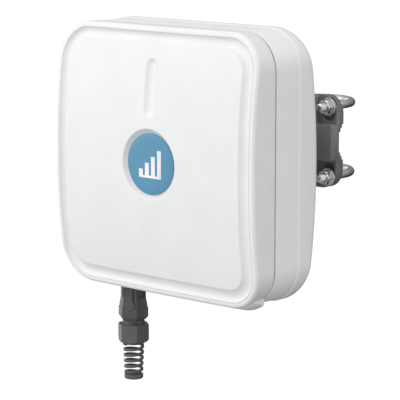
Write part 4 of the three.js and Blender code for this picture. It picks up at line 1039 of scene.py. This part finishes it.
def clamp_jaw():
    ears = extruded("y", rounded(0, 0, EAR_CORNER_X, EAR_CORNER_Z, 18, 20), EAR_FRONT, JAW_REAR)
    block = extruded("y", rounded(0, 0, EAR_CORNER_X, 18, 2, 6), BLOCK_FRONT, JAW_REAR - 1)
    spine = extruded("y", rounded(0, 0, 22, EAR_CORNER_Z, 3, 6), BLOCK_FRONT, JAW_REAR - 1)
    steps = [("UNION", block), ("UNION", spine)]
    for span in ((10, 18), (-18, -10)):
        loop = [(v, u) for u, v in lug_loop(BLOCK_FRONT + 1, PAN[1], 0, 15)]
        steps.append(("UNION", extruded("z", loop, *span)))
    steps.append(bore("z", PAN, -20, 20))
    steps.append(("DIFFERENCE", extruded("z", groove_loop(BEND - 2.5, 10, 14.6, 5), -60, 60)))
    across = [(v, u) for u, v in groove_loop(18, 7, 6.6, 3)]
    steps.append(("DIFFERENCE", extruded("x", across, -60, 60)))
    for x in (-BEND, BEND):
        for z in (-U_BOLT_Z, U_BOLT_Z):
            pocket = rounded(math.copysign(34.4, x), math.copysign(32.2, z), 6.8, 11.4, 5, 8)
            steps.append(("DIFFERENCE", extruded("y", pocket, EAR_FRONT - 2, EAR_FRONT + 4.4)))
            steps.append(("UNION", skin(around("y", (x, z), [(EAR_FRONT, 6.6), (EAR_FRONT + 5, 6.6)], 48))))
            steps.append(bore("y", (x, z), BLOCK_FRONT - 2, JAW_REAR + 2))
    return smooth(eased(shaped("pole_jaw", ears, *steps), 0.45), 35)


# ---------------------------------------------------------------- assembly

stand_for(front_cover(), "front_cover")
badge()
stand_for(back_housing(), "back_housing")
stand_for(gasket(), "seam_gasket")
stand_for(gland_ring(), "gland_washer")
stand_for(gland_body(), "gland_body")
stand_for(gland_nut(), "gland_nut")
stand_for(mount_plate(), "mount_plate")
stand_for(tilt_arm(), "tilt_arm")
stand_for(clamp_jaw(), "clamp_jaw")
fasteners()
for row, height in (("upper", U_BOLT_Z), ("lower", -U_BOLT_Z)):
    stand_for(smooth(joined("bent_rod_" + row, u_bolt(height)), 40), "u_bolt_" + row)

for name, node in nodes.items():
    if not node.hide_render:
        node.data.materials.clear()
        node.data.materials.append(FINISHES[SLOT_OF[name]])

# ---------------------------------------------------------------- stage and light

WHITE_LEVEL = 1.05
WORLD_LEVEL = 0.65
WORLD_RIGHT = 0.11
WORLD_BACK = -0.5
WORLD_UP = 0.38
LIGHT_DISTANCE = 2.4


def add_floor():
    """Pale floor, seen by the camera only, so that the light on the object is the studio's own."""
    low = Vector(cad_size[0]) - Vector((0, 0, 0.05))
    reach = 8
    corners = [(-reach, -reach, low.z), (reach, -reach, low.z), (reach, reach, low.z), (-reach, reach, low.z)]
    mesh = bpy.data.meshes.new("floor")
    mesh.from_pydata(corners, [], [(0, 1, 2, 3)])
    floor = bpy.data.objects.new("floor", mesh)
    scene.collection.objects.link(floor)
    floor.visible_diffuse = False
    floor.visible_glossy = False
    floor.visible_shadow = False
    material = bpy.data.materials.new("floor")
    material.use_nodes = True
    shader = material.node_tree.nodes["Principled BSDF"]
    shader.inputs["Base Color"].default_value = (0, 0, 0, 1)
    shader.inputs["Specular IOR Level"].default_value = 0
    shader.inputs["Emission Color"].default_value = (1, 1, 1, 1)
    shader.inputs["Emission Strength"].default_value = WHITE_LEVEL
    mesh.materials.append(material)


def add_world():
    """Soft surround that is brightest in front and above, and plain white where the camera sees it."""
    world = bpy.data.worlds.new("studio")
    world.use_nodes = True
    scene.world = world
    tree = world.node_tree
    tree.nodes.clear()
    place = tree.nodes.new("ShaderNodeTexCoord")
    slope = tree.nodes.new("ShaderNodeVectorMath")
    slope.operation = "DOT_PRODUCT"
    slope.inputs[1].default_value = (WORLD_RIGHT, WORLD_BACK, WORLD_UP)
    tree.links.new(place.outputs["Generated"], slope.inputs[0])
    level = tree.nodes.new("ShaderNodeMath")
    level.operation = "ADD"
    level.inputs[1].default_value = WORLD_LEVEL
    tree.links.new(slope.outputs["Value"], level.inputs[0])
    soft = tree.nodes.new("ShaderNodeBackground")
    tree.links.new(level.outputs["Value"], soft.inputs["Strength"])
    white = tree.nodes.new("ShaderNodeBackground")
    white.inputs["Strength"].default_value = WHITE_LEVEL
    path = tree.nodes.new("ShaderNodeLightPath")
    mix = tree.nodes.new("ShaderNodeMixShader")
    tree.links.new(path.outputs["Is Camera Ray"], mix.inputs["Fac"])
    tree.links.new(soft.outputs["Background"], mix.inputs[1])
    tree.links.new(white.outputs["Background"], mix.inputs[2])
    output = tree.nodes.new("ShaderNodeOutputWorld")
    tree.links.new(mix.outputs["Shader"], output.inputs["Surface"])


def add_softbox(name, direction, size, power):
    """Square area light that faces the enclosure from a direction."""
    data = bpy.data.lights.new(name, "AREA")
    data.size = size
    data.energy = power
    light = bpy.data.objects.new(name, data)
    target = Vector((0, SEAM * MM, 0))
    toward = Vector(direction).normalized()
    light.location = target + toward * LIGHT_DISTANCE
    light.rotation_euler = (-toward).to_track_quat("-Z", "Y").to_euler()
    light.visible_camera = False
    scene.collection.objects.link(light)


add_floor()
add_world()
add_softbox("key", (-0.35, -0.75, 0.7), 1.4, 10)
add_softbox("left", (-0.8, -0.6, 0.2), 1.6, 11)
add_softbox("side", (-0.93, 0.33, -0.1), 2, 9)
add_softbox("rim", (0.8, 0.5, 0.8), 1.2, 10)
scene.view_settings.view_transform = "Standard"
